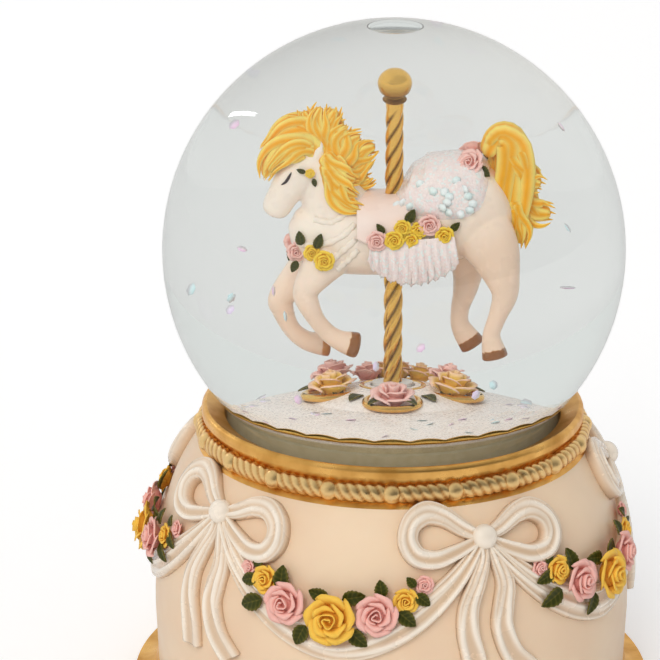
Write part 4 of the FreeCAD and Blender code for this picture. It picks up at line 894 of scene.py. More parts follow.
SOLIDS = (
    SolidDressing(RESIN, ("base_shell",)),
    SolidDressing(GILT, ("globe_collar", "foot_rim")),
    SolidDressing(FELT, ("felt_ring",)),
    SolidDressing(SNOW, ("snow_ground",)),
    SolidDressing(RUBBER, ("globe_stopper",)),
    SolidDressing(WHITE, ("magnet_carrier", "magnet_rotor")),
    SolidDressing(BLACK, ("base_cover", "drive_magnets", "rotor_magnets")),
    SolidDressing(STEEL, ("pivot_pin", "cover_screws", "movement_screws", "comb_screws", "tone_comb",
                          "winding_arbor", "mainspring", "output_shaft", "cylinder_shaft", "governor_shaft",
                          "governor_worm")),
    SolidDressing(ZINC, ("movement_bedplate", "shaft_bridge", "cylinder_bracket", "governor_frame")),
    SolidDressing(BRASS, ("winding_key", "spring_barrel", "barrel_cap", "pin_cylinder", "cylinder_pinion",
                          "cylinder_wheel", "governor_pinion", "worm_wheel", "governor_fan")),
)


# Skin of the base, which the ornaments lie on


@dataclass(frozen=True)
class BaseSkin:
    """Outline of the resin base as corners of (radius, height), with the two arcs that join them."""

    foot: Corner = (52.5, 8.7)
    waist: Corner = (53.0, 22.0)
    shoulder: Corner = (50.3, 45.0)
    top: Corner = (43.0, 60.0)
    belly_curve: float = 99.3
    shoulder_curve: float = 38.4

    def radius(self, height: np.ndarray) -> np.ndarray:
        """Outer radius: a straight foot, then two arcs that bulge outwards.

        Args:
            height: millimetres above the floor.

        Returns:
            Radius at each height.
        """
        straight = np.interp(height, (self.foot[1], self.waist[1]), (self.foot[0], self.waist[0]))
        belly = self.arc(height, self.waist, self.shoulder, self.belly_curve)
        shoulder = self.arc(height, self.shoulder, self.top, self.shoulder_curve)
        upper = np.where(height < self.shoulder[1], belly, shoulder)
        return np.where(height < self.waist[1], straight, upper)

    @staticmethod
    def arc(height: np.ndarray, low: Corner, high: Corner, curve: float) -> np.ndarray:
        """Radius on an arc between two corners.

        Args:
            height: heights wanted.
            low: lower corner.
            high: upper corner.
            curve: the arc's own radius.

        Returns:
            Radius of the base at each height.
        """
        start, end = np.array(low), np.array(high)
        chord = end - start
        length = float(np.hypot(*chord))
        inward = np.array([-chord[1], chord[0]]) / length
        centre = (start + end) / 2 + inward * math.sqrt(curve ** 2 - length ** 2 / 4)
        return centre[0] + np.sqrt(np.maximum(curve ** 2 - (height - centre[1]) ** 2, 0))

    def ways(self, angle: np.ndarray, height: np.ndarray) -> tuple[np.ndarray, ...]:
        """Points on the skin with the ways round, up and out.

        Args:
            angle: degrees from the front towards +x.
            height: millimetres above the floor.

        Returns:
            Points, way round, way up along the skin, and way out.
        """
        turn = np.radians(angle)
        step = 0.05
        lean = (self.radius(height + step) - self.radius(height - step)) / (2 * step)
        flat = grid(np.sin(turn), -np.cos(turn), 0.0)
        around = grid(np.cos(turn), np.sin(turn), 0.0)
        up = unit(flat * lean[..., None] + UP)
        spot = flat * self.radius(height)[..., None] + UP * height[..., None]
        return spot, around, up, np.cross(around, up)

    def wrapped(self, angle: float, height: float, local: np.ndarray) -> np.ndarray:
        """Millimetres about a spot, bent over the skin.

        Args:
            angle: the spot's angle.
            height: the spot's height.
            local: rows of (round, up, out).

        Returns:
            Points in the same order.
        """
        across = angle + np.degrees(local[..., 0] / self.radius(np.asarray(height, float)))
        spot, _, _, out = self.ways(across, height + local[..., 1])
        return spot + out * local[..., 2:3]


SKIN = BaseSkin()
SECTORS = 5
SECTOR_STEP = 360.0 / SECTORS
GARLAND_ANGLE = -12.5
BOW_ANGLE = GARLAND_ANGLE + SECTOR_STEP / 2


@dataclass(frozen=True)
class Satin:
    """Moulded satin band: a creased section carried along a route and bent over the skin.

    Each fold is a bell across the band whose middle drifts and whose strength swells and fades along
    the route, both as sines. Two narrow bells make the rolled hems, and the highest bell counts.
    """

    folds: int
    rim: float
    count: int
    across: int
    drift: float = 0.2
    swell: float = 0.28
    hem: float = 0.55
    hem_place: float = 0.86
    hem_width: float = 0.1
    edge_drop: float = 0.25
    crown_power: int = 14

    def ridges(self, share: np.ndarray) -> np.ndarray:
        """Height of the folds and hems from 0 to 1.

        Args:
            share: places across the band from 1 to -1.

        Returns:
            Heights by place along the band and place across it.
        """
        along = np.linspace(0, 1, self.count)[:, None]
        order = np.arange(self.folds)[:, None, None]
        middle = np.linspace(-0.5, 0.5, self.folds)[:, None, None]
        middle = middle + self.drift * np.sin(6 * along + 2.4 * order)
        strength = 1 - self.swell + self.swell * np.cos(8 * along + 1.9 * order)
        fold = (strength * np.exp(-((share - middle) * self.folds / 0.5) ** 2)).max(axis=0)
        hem = self.hem * np.exp(-((np.abs(share) - self.hem_place) / self.hem_width) ** 2)
        return np.maximum(fold, hem)

    def laid(self, route: Stations | np.ndarray, angle: float, height: float) -> Surface:
        """Band on the base.

        Args:
            route: rows of (round, up, lift, width), in millimetres about a spot.
            angle: the spot's angle on the base.
            height: the spot's height.

        Returns:
            The open surface, its tone rising on the folds and hems as painted highlight and falling between
            them and at the very edges as painted shade.
        """
        path = smooth(route, self.count)
        heading = unit(np.gradient(path[:, :2], axis=0))
        side = np.stack([-heading[:, 1], heading[:, 0]], axis=-1)
        share = np.linspace(1, -1, self.across)[None, :]
        crown = np.clip(1 - np.abs(share) ** self.crown_power, 0, 1)
        ridge = self.ridges(share)
        flat = path[:, None, :2] + side[:, None] * (share * path[:, 3:4] / 2)[..., None]
        lift = (path[:, 2:3] + self.rim * ridge) * crown - self.edge_drop * (1 - crown)
        local = np.concatenate([flat, lift[..., None]], axis=-1)
        # Painted light: the tone is high on the folds and hems and low in the valleys between them and at the
        # edges.
        return sheet(SKIN.wrapped(angle, height, local), 0.15 + 0.85 * ridge * crown)


def five_pieces(kind: str, shape: Surface, wall: float) -> None:
    """Ribbon pieces all round the base, in place of their solids.

    Args:
        kind: bow or swag.
        shape: the first of them.
        wall: thickness of the ribbon.
    """
    for step in range(SECTORS):
        piece(f"{kind}_{step + 1}", shape.turned(SECTOR_STEP * step), RIBBON, Carrier.BASE,
              (f"ribbon_{kind}_{step + 1}",), wall=wall, closed=False)


@dataclass
class Bows:
    """Five moulded bows: two looped ribbons, a pearl knot and two wavy tails each."""

    satin: Satin = Satin(folds=2, rim=0.7, count=90, across=25)
    height: float = 54.0
    wall: float = 0.3
    knot: float = 2.5
    knot_squash: float = 0.85
    knot_lift: float = 1.6
    right_tilt: float = -9.0
    loop: Stations = field(default_factory=lambda: [
        (-0.6, 0.2, 1.2, 1.9), (-4.0, 1.9, 1.5, 3.0), (-8.0, 4.3, 1.9, 3.6), (-11.8, 5.0, 2.2, 4.0),
        (-15.0, 3.4, 2.4, 4.2), (-15.9, 0.4, 2.4, 4.2), (-14.2, -2.4, 2.2, 4.0), (-10.6, -3.2, 1.9, 3.5),
        (-6.8, -2.3, 1.5, 2.9), (-3.2, -1.1, 1.3, 2.2), (-0.6, -0.3, 1.2, 1.7)])
    long_tail: Stations = field(default_factory=lambda: [
        (0.9, -0.6, 1.2, 1.6), (2.2, -4.5, 1.2, 2.8), (3.4, -9.3, 1.3, 3.8), (2.6, -14.2, 1.3, 4.2),
        (2.2, -18.4, 1.3, 4.3), (4.0, -24.2, 1.2, 4.6), (7.6, -29.0, 1.0, 5.2)])
    short_tail: Stations = field(default_factory=lambda: [
        (-0.6, -0.6, 1.2, 1.6), (-0.6, -3.8, 1.2, 2.5), (-2.4, -8.2, 1.3, 3.4), (-4.4, -13.2, 1.3, 4.0),
        (-4.7, -18.5, 1.3, 4.3), (-3.6, -24.6, 1.2, 4.7), (-3.4, -29.6, 1.0, 5.2)])

    def shape(self) -> Surface:
        """One bow on the first bow's place.

        Returns:
            Ribbons and knot in one surface.
        """
        left = np.array(self.loop)
        right = left * (-1, 1, 1, 1)
        tilt = math.radians(self.right_tilt)
        turn = np.array([[math.cos(tilt), math.sin(tilt)], [-math.sin(tilt), math.cos(tilt)]])
        right[:, :2] = right[:, :2] @ turn
        bands = [self.satin.laid(route, BOW_ANGLE, self.height)
                 for route in (left, right, self.long_tail, self.short_tail)]
        spot, around, up, out = SKIN.ways(np.array(BOW_ANGLE), np.array(self.height))
        knot = ball(HERE, self.knot, 16, 24, self.knot_squash).toned(1.0)
        return joined([*bands, knot.placed(np.array([around, up, out]), spot + out * self.knot_lift)])

    def build(self) -> None:
        """The five bows."""
        five_pieces("bow", self.shape(), self.wall)


@dataclass
class Swags:
    """Five satin swags that hang from bow to bow, gathered at their ends."""

    satin: Satin = Satin(folds=3, rim=0.9, count=100, across=33)
    height: float = 54.0
    wall: float = 0.3
    half_angle: float = 34.5
    end_drop: float = 1.2
    sag: float = 19.6
    sag_power: float = 1.75
    width: float = 7.6
    gather: float = 0.72
    gather_power: float = 2.2
    lift: float = 0.75
    end_lift: float = 0.35

    def shape(self) -> Surface:
        """One swag under the first garland: it drops as a power of the distance from its middle.

        Returns:
            The open surface.
        """
        share = np.linspace(-1, 1, 13)
        away = np.abs(share)
        half = math.radians(self.half_angle) * SKIN.radius(np.array(self.height))
        drop = -self.sag * (1 - away ** self.sag_power) - self.end_drop
        width = self.width * (1 - self.gather * away ** self.gather_power)
        lift = self.lift + self.end_lift * away
        route = np.stack([half * share, drop, lift, width], axis=-1)
        return self.satin.laid(route, GARLAND_ANGLE, self.height)

    def build(self) -> None:
        """The five swags."""
        five_pieces("swag", self.shape(), self.wall)


@dataclass
class Garlands:
    """Rose garlands on the swags.

    Each rose is its colour, degrees from the garland's middle, height, radius, lift and spin. Each
    leaf is its degrees from the middle, height, spin, length and width.
    """

    petal_wall: float = 0.22
    leaf_wall: float = 0.3
    leaf_lift: float = 1.75
    roses: Roses = field(default_factory=lambda: [
        (Bloom.PINK, -22.3, 46.0, 2.0, 0.6, 20), (Bloom.YELLOW, -17.4, 44.6, 2.9, 0.9, 40),
        (Bloom.PINK, -11.4, 41.0, 4.3, 1.4, 75), (Bloom.YELLOW, -0.6, 39.2, 5.1, 1.6, 10),
        (Bloom.PINK, 9.4, 40.6, 4.2, 1.4, 50), (Bloom.YELLOW, 15.8, 43.2, 2.6, 0.9, 95),
        (Bloom.PINK, 20.2, 46.2, 1.9, 0.6, 0)])
    leaves: Stations = field(default_factory=lambda: [
        (-20.6, 46.6, 62, 3.4, 2.2), (-19.6, 44.6, 200, 4.2, 2.8), (-13.0, 43.6, 95, 4.8, 3.6),
        (-17.6, 40.6, 205, 5.8, 3.8), (-6.6, 37.0, 245, 5.0, 3.4), (-1.6, 43.0, 165, 4.6, 3.0),
        (1.6, 43.2, 12, 4.8, 3.2), (3.4, 37.0, 318, 5.0, 3.4), (10.6, 44.0, 100, 3.6, 2.8),
        (14.2, 41.2, 318, 4.8, 3.2), (18.2, 44.6, 318, 3.8, 2.6), (18.0, 46.0, 130, 2.6, 2.0)])

    def build(self) -> None:
        """Pink roses, yellow roses and leaves of all five garlands."""
        finishes = {Bloom.PINK: (PINK, "pink_roses"), Bloom.YELLOW: (YELLOW, "yellow_roses")}
        for bloom, (finish, node) in finishes.items():
            shapes = [self.seated(rose(radius, spin), offset, height, 0.0, lift)
                      for colour, offset, height, radius, lift, spin in self.roses if colour is bloom]
            piece(f"garland_{node}", self.repeated(shapes), finish, Carrier.BASE, (node,),
                  wall=self.petal_wall, closed=False)
        blades = [self.seated(leaf(length, width), offset, height, spin, self.leaf_lift)
                  for offset, height, spin, length, width in self.leaves]
        piece("garland_leaves", self.repeated(blades), LEAF, Carrier.BASE, ("rose_leaves",),
              wall=self.leaf_wall, closed=False)

    @staticmethod
    def seated(shape: Surface, offset: float, height: float, spin: float, lift: float) -> Surface:
        """Shape set on the skin.

        Args:
            shape: the shape, whose z becomes the way out.
            offset: degrees from the garland's middle.
            height: millimetres above the floor.
            spin: degrees from the way round to its x, towards up.
            lift: millimetres off the skin.

        Returns:
            The shape in its place.
        """
        spot, around, up, out = SKIN.ways(np.array(GARLAND_ANGLE + offset), np.array(height))
        cosine, sine = math.cos(math.radians(spin)), math.sin(math.radians(spin))
        axes = np.array([cosine * around + sine * up, cosine * up - sine * around, out])
        return shape.placed(axes, spot + out * lift)

    @staticmethod
    def repeated(shapes: list[Surface]) -> Surface:
        """Shapes of one garland on all five."""
        whole = joined(shapes)
        return joined([whole.turned(SECTOR_STEP * step) for step in range(SECTORS)])


@dataclass
class CollarRope:
    """Twisted rope with beads round the collar."""

    ring: float = 41.9
    height: float = 63.1
    tube: float = 1.6
    stretch: float = 1.35
    flute: float = 0.18
    nip: float = 0.22
    bead: float = 2.2
    bead_tone: float = 0.9
    beads: int = 20
    strands: int = 3
    twists: int = 126

    def build(self) -> None:
        """Rope whose round section is fluted by strands that wind as they go round, and the beads."""
        turn = full_turn(960)[None, :]
        face = np.linspace(0, FULL_TURN, 20)[:, None]
        wave = np.abs(np.cos(self.strands * face / 2 + self.twists * turn / 2))
        waist = 1 - self.nip * np.abs(np.cos(self.beads * turn / 2)) ** 12
        tube = self.tube * (1 - self.flute + self.flute * wave) * waist
        rope = polar(self.ring + tube * np.cos(face), turn, self.height + self.stretch * tube * np.sin(face))
        bead = ball(np.array([self.ring, 0.0, self.height]), self.bead).toned(self.bead_tone)
        beads = [bead.turned(360.0 * step / self.beads) for step in range(self.beads)]
        # Painted shade: the rope's tone is low in the valleys between strands and at the nips by the beads.
        piece("collar_rope_and_beads", joined([sheet(rope, wave * waist, ring=True), *beads]), ROPE_GILT,
              Carrier.BASE, ("collar_rope",))


@dataclass
class Globe:
    """Glass ball full of water, with the air bubble, the gold edge of the ground and loose flakes."""

    radius: float = 50.0
    wall: float = 2.0
    centre: float = 103.0
    neck: float = 36.6
    neck_bottom: float = 58.0
    around: int = 180
    bubble_radius: float = 5.8
    bubble_depth: float = 1.5
    bubble_gap: float = 0.05
    edge_radius: float = 33.6
    edge_height: float = 74.0
    edge_width: float = 0.45
    edge_depth: float = 0.55
    edge_wave: float = 0.35
    edge_swell: float = 0.25
    scallops: int = 30
    flakes: int = 46
    flake_wall: float = 0.04
    flake_tilt: float = 0.25
    flake_scatter: tuple[float, float] = (0.26, 0.92)
    flake_shades: tuple[Colour, ...] = ((0.93, 0.66, 0.88), (0.66, 0.90, 0.93), (0.86, 0.74, 0.96))
    flake_painted_sheen: Colour = (0.95, 0.92, 0.95)
    ground_radius: float = 33.0
    ground: Stations = field(default_factory=lambda: [(13, 78.3), (20, 77.4), (27, 76.0), (33.2, 74.25)])
    drifting: Stations = field(default_factory=lambda: [
        (-26, -8, 2.4), (-27.5, -7, -6.6), (-28, -9, -8.2), (-21, -16, -2.8), (-19, -18, -6.9),
        (-3, -24, -14.5), (5, -26, -10.5), (18, -20, -19), (15, -22, -20.5), (-17, -21, -22), (30, -6, 6),
        (27, 10, 18), (-25, 14, 16), (-12, 27, 6), (10, 30, -6), (24, 22, -12), (-30, 12, -10)])

    def build(self) -> None:
        """Glass, bubble, edging and flakes."""
        glass = piece("glass_ball", self.walls(), GLASS, Carrier.BASE, ("glass_globe",), closed=False)
        glass.data.materials.append(GLASS_WATER.material())
        glass.data.polygons.foreach_set("material_index", self.wet(glass.data))
        self.bubble()
        self.edging()
        self.glitter()

    def shell(self, radius: float, neck: float) -> Surface:
        """Turned face: a straight neck up to the sphere, then the sphere by angle up to its top.

        Args:
            radius: the sphere's radius.
            neck: the neck's radius.

        Returns:
            The surface, with faces outwards.
        """
        up = np.linspace(-math.acos(neck / radius), math.pi / 2, 120)
        sphere = np.stack([radius * np.cos(up), self.centre + radius * np.sin(up)], axis=-1)
        outline = np.vstack([[neck, self.neck_bottom], sphere])
        return sheet(polar(outline[:, :1], full_turn(self.around), outline[:, 1:]), ring=True)

    def walls(self) -> Surface:
        """Outer face and inner face of the glass, joined by a flat lip under the neck.

        Returns:
            The closed surface.
        """
        outer = self.shell(self.radius, self.neck)
        inner = self.shell(self.radius - self.wall, self.neck - self.wall).flipped()
        first = np.arange(self.around)
        beside = (first + 1) % self.around
        under = len(outer.points)
        lip = np.stack([first, first + under, beside + under, beside], axis=-1)
        both = joined([outer, inner])
        return Surface(both.points, np.vstack([both.quads, lip]), both.tone)

    def wet(self, mesh: bpy.types.Mesh) -> np.ndarray:
        """Which faces of the glass touch the water.

        Args:
            mesh: the glass.

        Returns:
            One for a face on the inside of the ball or the neck, and nought for the rest.
        """
        flat = np.zeros(len(mesh.polygons) * 3)
        mesh.polygons.foreach_get("center", flat)
        middles = flat.reshape(-1, 3) / MM - (0, 0, self.centre)
        in_ball = np.linalg.norm(middles, axis=1) < self.radius - self.wall / 2
        in_neck = np.linalg.norm(middles[:, :2], axis=1) < self.neck - self.wall / 2
        below = middles[:, 2] < -math.sqrt(self.radius ** 2 - self.neck ** 2)
        return np.where(below, in_neck, in_ball).astype(np.int32)

    def bubble(self) -> None:
        """Lens of air under the top of the glass: a cap of the inner sphere closed by a flatter dome."""
        inner = self.radius - self.wall - self.bubble_gap
        share = np.linspace(0, 1, 20)[:, None]
        reach = self.bubble_radius * share
        rim = math.sqrt(inner ** 2 - self.bubble_radius ** 2)
        dome = rim - self.bubble_depth * np.sqrt(np.maximum(1 - share ** 2, 0))
        cap = np.sqrt(inner ** 2 - reach ** 2)
        height = self.centre + np.vstack([dome, cap[::-1]])
        points = polar(np.vstack([reach, reach[::-1]]), full_turn(64), height)
        piece("air_bubble", sheet(points, ring=True), BUBBLE, Carrier.BASE)

    def edging(self) -> None:
        """Gold band round the ground whose top edge rises and falls in scallops."""
        turn = full_turn(720)[None, :]
        face = np.linspace(0, FULL_TURN, 13)[:, None]
        wave = np.abs(np.sin(self.scallops * turn / 2))
        reach = self.edge_radius + self.edge_width * np.cos(face)
        middle = self.edge_height - self.edge_depth + self.edge_wave * wave
        height = middle + (self.edge_depth + self.edge_swell * wave) * np.sin(face)
        piece("scalloped_edging", sheet(polar(reach, turn, height), ring=True), BRIGHT_GILT, Carrier.BASE,
              ("ground_edging",))

    def glitter(self) -> None:
        """Six-sided flakes, some drifting and the rest lying on the snow."""
        seeds = np.random.default_rng(7)
        angle = seeds.uniform(0, FULL_TURN, self.flakes)
        reach = np.sqrt(seeds.uniform(*self.flake_scatter, self.flakes)) * self.ground_radius
        lying = polar(reach, angle, np.interp(reach, *np.transpose(self.ground)))
        spots = np.vstack([np.array(self.drifting, float) + (0, 0, self.centre), lying])
        slant = np.vstack([seeds.uniform(-1, 1, (len(self.drifting), 3)),
                           UP + self.flake_tilt * seeds.normal(size=(self.flakes, 3))])
        groups = len(self.flake_shades)
        for group, shade in enumerate(self.flake_shades):
            parts = [flake(spot, tilt) for spot, tilt in zip(spots[group::groups], slant[group::groups])]
            # Each flake is its own pale colour, turning to painted sheen where it slants away.
            finish = PaintedSheenFinish(f"flake_{group + 1}", "pearl_ribbon", shade, self.flake_painted_sheen, 0.2, coat=1.0)
            piece(f"glitter_flakes_{group + 1}", joined(parts), finish, Carrier.BASE, wall=self.flake_wall,
                  closed=False)


@dataclass
class Pole:
    """Twisted gold pole with a polished ball on top, whose outline is (radius, height above its foot)."""

    radius: float = 1.55
    bottom: float = 78.3
    top: float = 131.0
    smooth_from: float = 129.6
    fade: float = 3.0
    strands: int = 4
    pitch: float = 14.0
    deep: float = 0.28
    shallow: float = 0.16
    knob_sunk: float = 1.6
    knob_shade: float = 6.0
    knob: Stations = field(default_factory=lambda: [
        (0, 0), (1.5, 0), (2.1, 0.5), (1.7, 1.0), (1.6, 1.3), (2.55, 2.1), (3.0, 3.7), (2.6, 5.2), (1.5, 6.3),
        (0, 6.7)])

    def build(self) -> None:
        """Pole fluted by strands that wind upwards and fade near the top, and the lathe-turned ball, both
        toned with painted shade.
        """
        height = np.linspace(self.bottom, self.top, 320)[:, None]
        turn = full_turn(40)[None, :]
        fade = np.clip((self.smooth_from - height) / self.fade, 0, 1)
        wave = np.abs(np.cos(self.strands * (turn - FULL_TURN * height / self.pitch) / 2))
        groove = fade * (1 - wave)
        depth = np.interp(height, (self.bottom, self.top), (self.deep, self.shallow))
        reach = self.radius * (1 - depth * groove)
        reach[[0, -1]] = 0
        # Painted shade: the tone is low in the grooves between the strands.
        piece("twisted_pole", sheet(polar(reach, turn, height), 1 - groove, ring=True), TWIST_GILT,
              Carrier.CAROUSEL, ("carousel_pole",))
        knob = lathe(self.knob, 60, 48)
        # Painted shade: the ball darkens from near its top down to its foot.
        knob.tone = 0.1 + 0.9 * np.clip(knob.points[:, 2] / self.knob_shade, 0, 1) ** 1.6
        piece("ball_finial", knob.placed(np.eye(3), UP * (self.top - self.knob_sunk)), TWIST_GILT,
              Carrier.CAROUSEL, ("pole_finial",))


@dataclass
class MoundRoses:
    """Gold rings round the foot of the pole, with upright roses in them.

    Each rose is its colour, angle round the pole, distance from it, height, radius and outward lean.
    Each leaf is its rose's angle and distance, and its spin.
    """

    circle: float = 9.4
    ring: float = 4.5
    tube: float = 0.62
    height: float = 79.3
    lean: float = 7.0
    pole_ring: float = 1.08
    pole_ring_lift: float = 0.9
    stretch: float = 1.15
    petal_wall: float = 0.16
    leaf_wall: float = 0.2
    leaf_size: tuple[float, float] = (3.2, 2.2)
    leaf_away: float = 1.9
    leaf_lift: float = 0.4
    roses: Roses = field(default_factory=lambda: [
        (Bloom.PINK, -90, 9.6, 79.2, 3.5, 16), (Bloom.YELLOW, -12, 9.6, 79.4, 3.8, 10),
        (Bloom.PINK, 18, 9.0, 80.4, 3.0, 12), (Bloom.YELLOW, 192, 9.6, 79.4, 3.7, 10),
        (Bloom.PINK, 160, 9.6, 80.6, 3.2, 14), (Bloom.YELLOW, 90, 9.6, 79.2, 3.6, 16),
        (Bloom.YELLOW, 62, 8.6, 80.0, 2.5, 12), (Bloom.PINK, 114, 9.0, 80.0, 2.5, 14)])
    leaves: Stations = field(default_factory=lambda: [
        (-90, 10.0, 215), (-90, 10.0, 325), (0, 9.6, 255), (0, 9.6, 20), (180, 9.8, 285), (180, 9.8, 170),
        (90, 9.8, 40), (90, 9.8, 140), (-50, 6.0, 310), (-130, 6.0, 230)])

    def build(self) -> None:
        """Rings, roses of both colours and leaves."""
        self.rings()
        tall = np.diag([1.0, 1.0, self.stretch])
        for bloom, finish, nodes in ((Bloom.PINK, BLUSH, ("globe_roses",)), (Bloom.YELLOW, TEA, ())):
            shapes = [self.seat(rose(radius, 3 * angle).placed(tall, HERE), angle, away, height, lean)
                      for colour, angle, away, height, radius, lean in self.roses if colour is bloom]
            piece(f"mound_{bloom.value}_roses", joined(shapes), finish, Carrier.CAROUSEL, nodes,
                  wall=self.petal_wall, closed=False)
        blades = []
        for angle, away, spin in self.leaves:
            blade = leaf(*self.leaf_size).placed(np.eye(3), np.array([self.leaf_away, 0, 0])).turned(spin)
            foot = polar(away, math.radians(angle), self.height + self.leaf_lift)
            blades.append(blade.placed(np.eye(3), foot))
        piece("mound_leaves", joined(blades), LEAF, Carrier.CAROUSEL, wall=self.leaf_wall, closed=False)

    def rings(self) -> None:
        """Five hoops of round wire: one about the pole, four about the roses, leaning with the mound."""
        face = np.linspace(0, FULL_TURN, 15)[:, None]
        hoop = polar(self.ring + self.tube * np.cos(face), full_turn(72), self.tube * np.sin(face))
        ring = sheet(hoop, ring=True)
        shapes = [ring.placed(self.pole_ring * np.eye(3), UP * (self.height + self.pole_ring_lift))]
        shapes += [self.seat(ring, angle, self.circle, self.height, self.lean) for angle in (-90, 0, 90, 180)]
        piece("scroll_rings", joined(shapes), BRIGHT_GILT, Carrier.CAROUSEL, ("rose_scroll",))

    @staticmethod
    def seat(shape: Surface, angle: float, away: float, height: float, lean: float) -> Surface:
        """Shape set round the pole.

        Args:
            shape: the shape, whose z becomes its own axis.
            angle: degrees round the pole.
            away: distance from the pole.
            height: millimetres above the floor.
            lean: degrees that it tips outwards.

        Returns:
            The shape in its place.
        """
        turn, tip = math.radians(angle), math.radians(lean)
        out = np.array([math.cos(turn), math.sin(turn), 0])
        axis = UP * math.cos(tip) + out * math.sin(tip)
        side = np.cross(UP, out)
        return shape.placed(np.array([np.cross(side, axis), side, axis]), away * out + height * UP)


@dataclass(frozen=True)
class Hair:
    """Moulded hair: each lock is one full form with thinner wavy strands laid over both of its flanks.

    A strand follows the lock's path. It is moved across the path by its share, which flares with the
    square of the way along, and by a sine, and it thins out with the cube of the way along.
    """

    sections: int = 14
    strands: tuple[tuple[int, float], ...] = (
        (-1, -0.45), (-1, 0.45), (1, -0.45), (1, 0.45), (-1, 0.0), (1, 0.0))
    flare: float = 2.6
    sway: float = 0.3
    stretch: float = 0.9
    flank: float = 0.62
    taper: float = 0.82
    least: float = 0.9
    tall: float = 0.5
    wide: float = 0.48

    def lock(self, stations: Stations) -> Surface:
        """One lock.

        Args:
            stations: stations of the full form.

        Returns:
            The joined forms.
        """
        seeds = np.random.default_rng(abs(int(stations[0][0] * 100 + stations[-1][2] * 10)))
        full = smooth(stations, self.sections)
        along = np.linspace(0, 1, self.sections)
        heading = unit(np.gradient(full[:, [0, 2]], axis=0))
        thin = 1 - self.taper * along ** 3
        # limb tones every fluted form with painted shade in its grooves.
        forms = [limb(full, 36, 26, grooves=5, depth=0.10)]
        for side, share in self.strands:
            wave = share * (1 + self.flare * along ** 2) + self.sway * np.sin(along * 7 + seeds.uniform(0, 6))
            stretch = seeds.uniform(0.0, self.stretch) * along ** 3
            strand = full.copy()
            strand[:, 0] += stretch * heading[:, 0] - wave * full[:, 3] * heading[:, 1]
            strand[:, 1] += side * self.flank * full[:, 4]
            strand[:, 2] += stretch * heading[:, 1] + wave * full[:, 3] * heading[:, 0]
            strand[:, 3] = self.tall * np.maximum(full[:, 3], self.least) * thin
            strand[:, 4] = self.wide * np.maximum(full[:, 4], self.least) * thin
            start = seeds.integers(0, 4)
            forms.append(limb(strand[start:], 30, 14, grooves=3, depth=0.12))
        return joined(forms)


def mesh_points(mesh: bpy.types.Mesh) -> np.ndarray:
    """Points of a mesh.

    Args:
        mesh: the mesh.

    Returns:
        Rows of (x, y, z) in millimetres.
    """
    flat = np.zeros(len(mesh.vertices) * 3)
    mesh.vertices.foreach_get("co", flat)
    return flat.reshape(-1, 3) / MM


class Seats:
    """Places on the near side of some pieces, found by rays along y."""

    RAY_START = -40.0
    MISSED = -3.0

    def __init__(self, things: list[bpy.types.Object], centre: float) -> None:
        """Make the pieces ready for the rays.

        Args:
            things: pieces that other pieces may sit on.
            centre: height that z counts from.
        """
        self.centre = centre
        self.trees = [self.tree(thing.data) for thing in things]

    @staticmethod
    def tree(mesh: bpy.types.Mesh) -> BVHTree:
        """Triangles of a mesh in millimetres.

        Args:
            mesh: the mesh.

        Returns:
            The tree that rays are cast on.
        """
        mesh.calc_loop_triangles()
        corners = np.zeros(len(mesh.loop_triangles) * 3, np.int32)
        mesh.loop_triangles.foreach_get("vertices", corners)
        return BVHTree.FromPolygons(mesh_points(mesh).tolist(), corners.reshape(-1, 3).tolist())

    def at(self, x: float, z: float, lift: float) -> np.ndarray:
        """Place on the nearest piece.

        Args:
            x: along the horse.
            z: height above the centre.
            lift: millimetres towards the viewer.

        Returns:
            The point.
        """
        start = Vector((x, self.RAY_START, z + self.centre))
        hits = [tree.ray_cast(start, Vector((0, 1, 0)))[0] for tree in self.trees]
        near = min((hit.y for hit in hits if hit is not None), default=self.MISSED)
        return np.array([x, near - lift, z + self.centre])


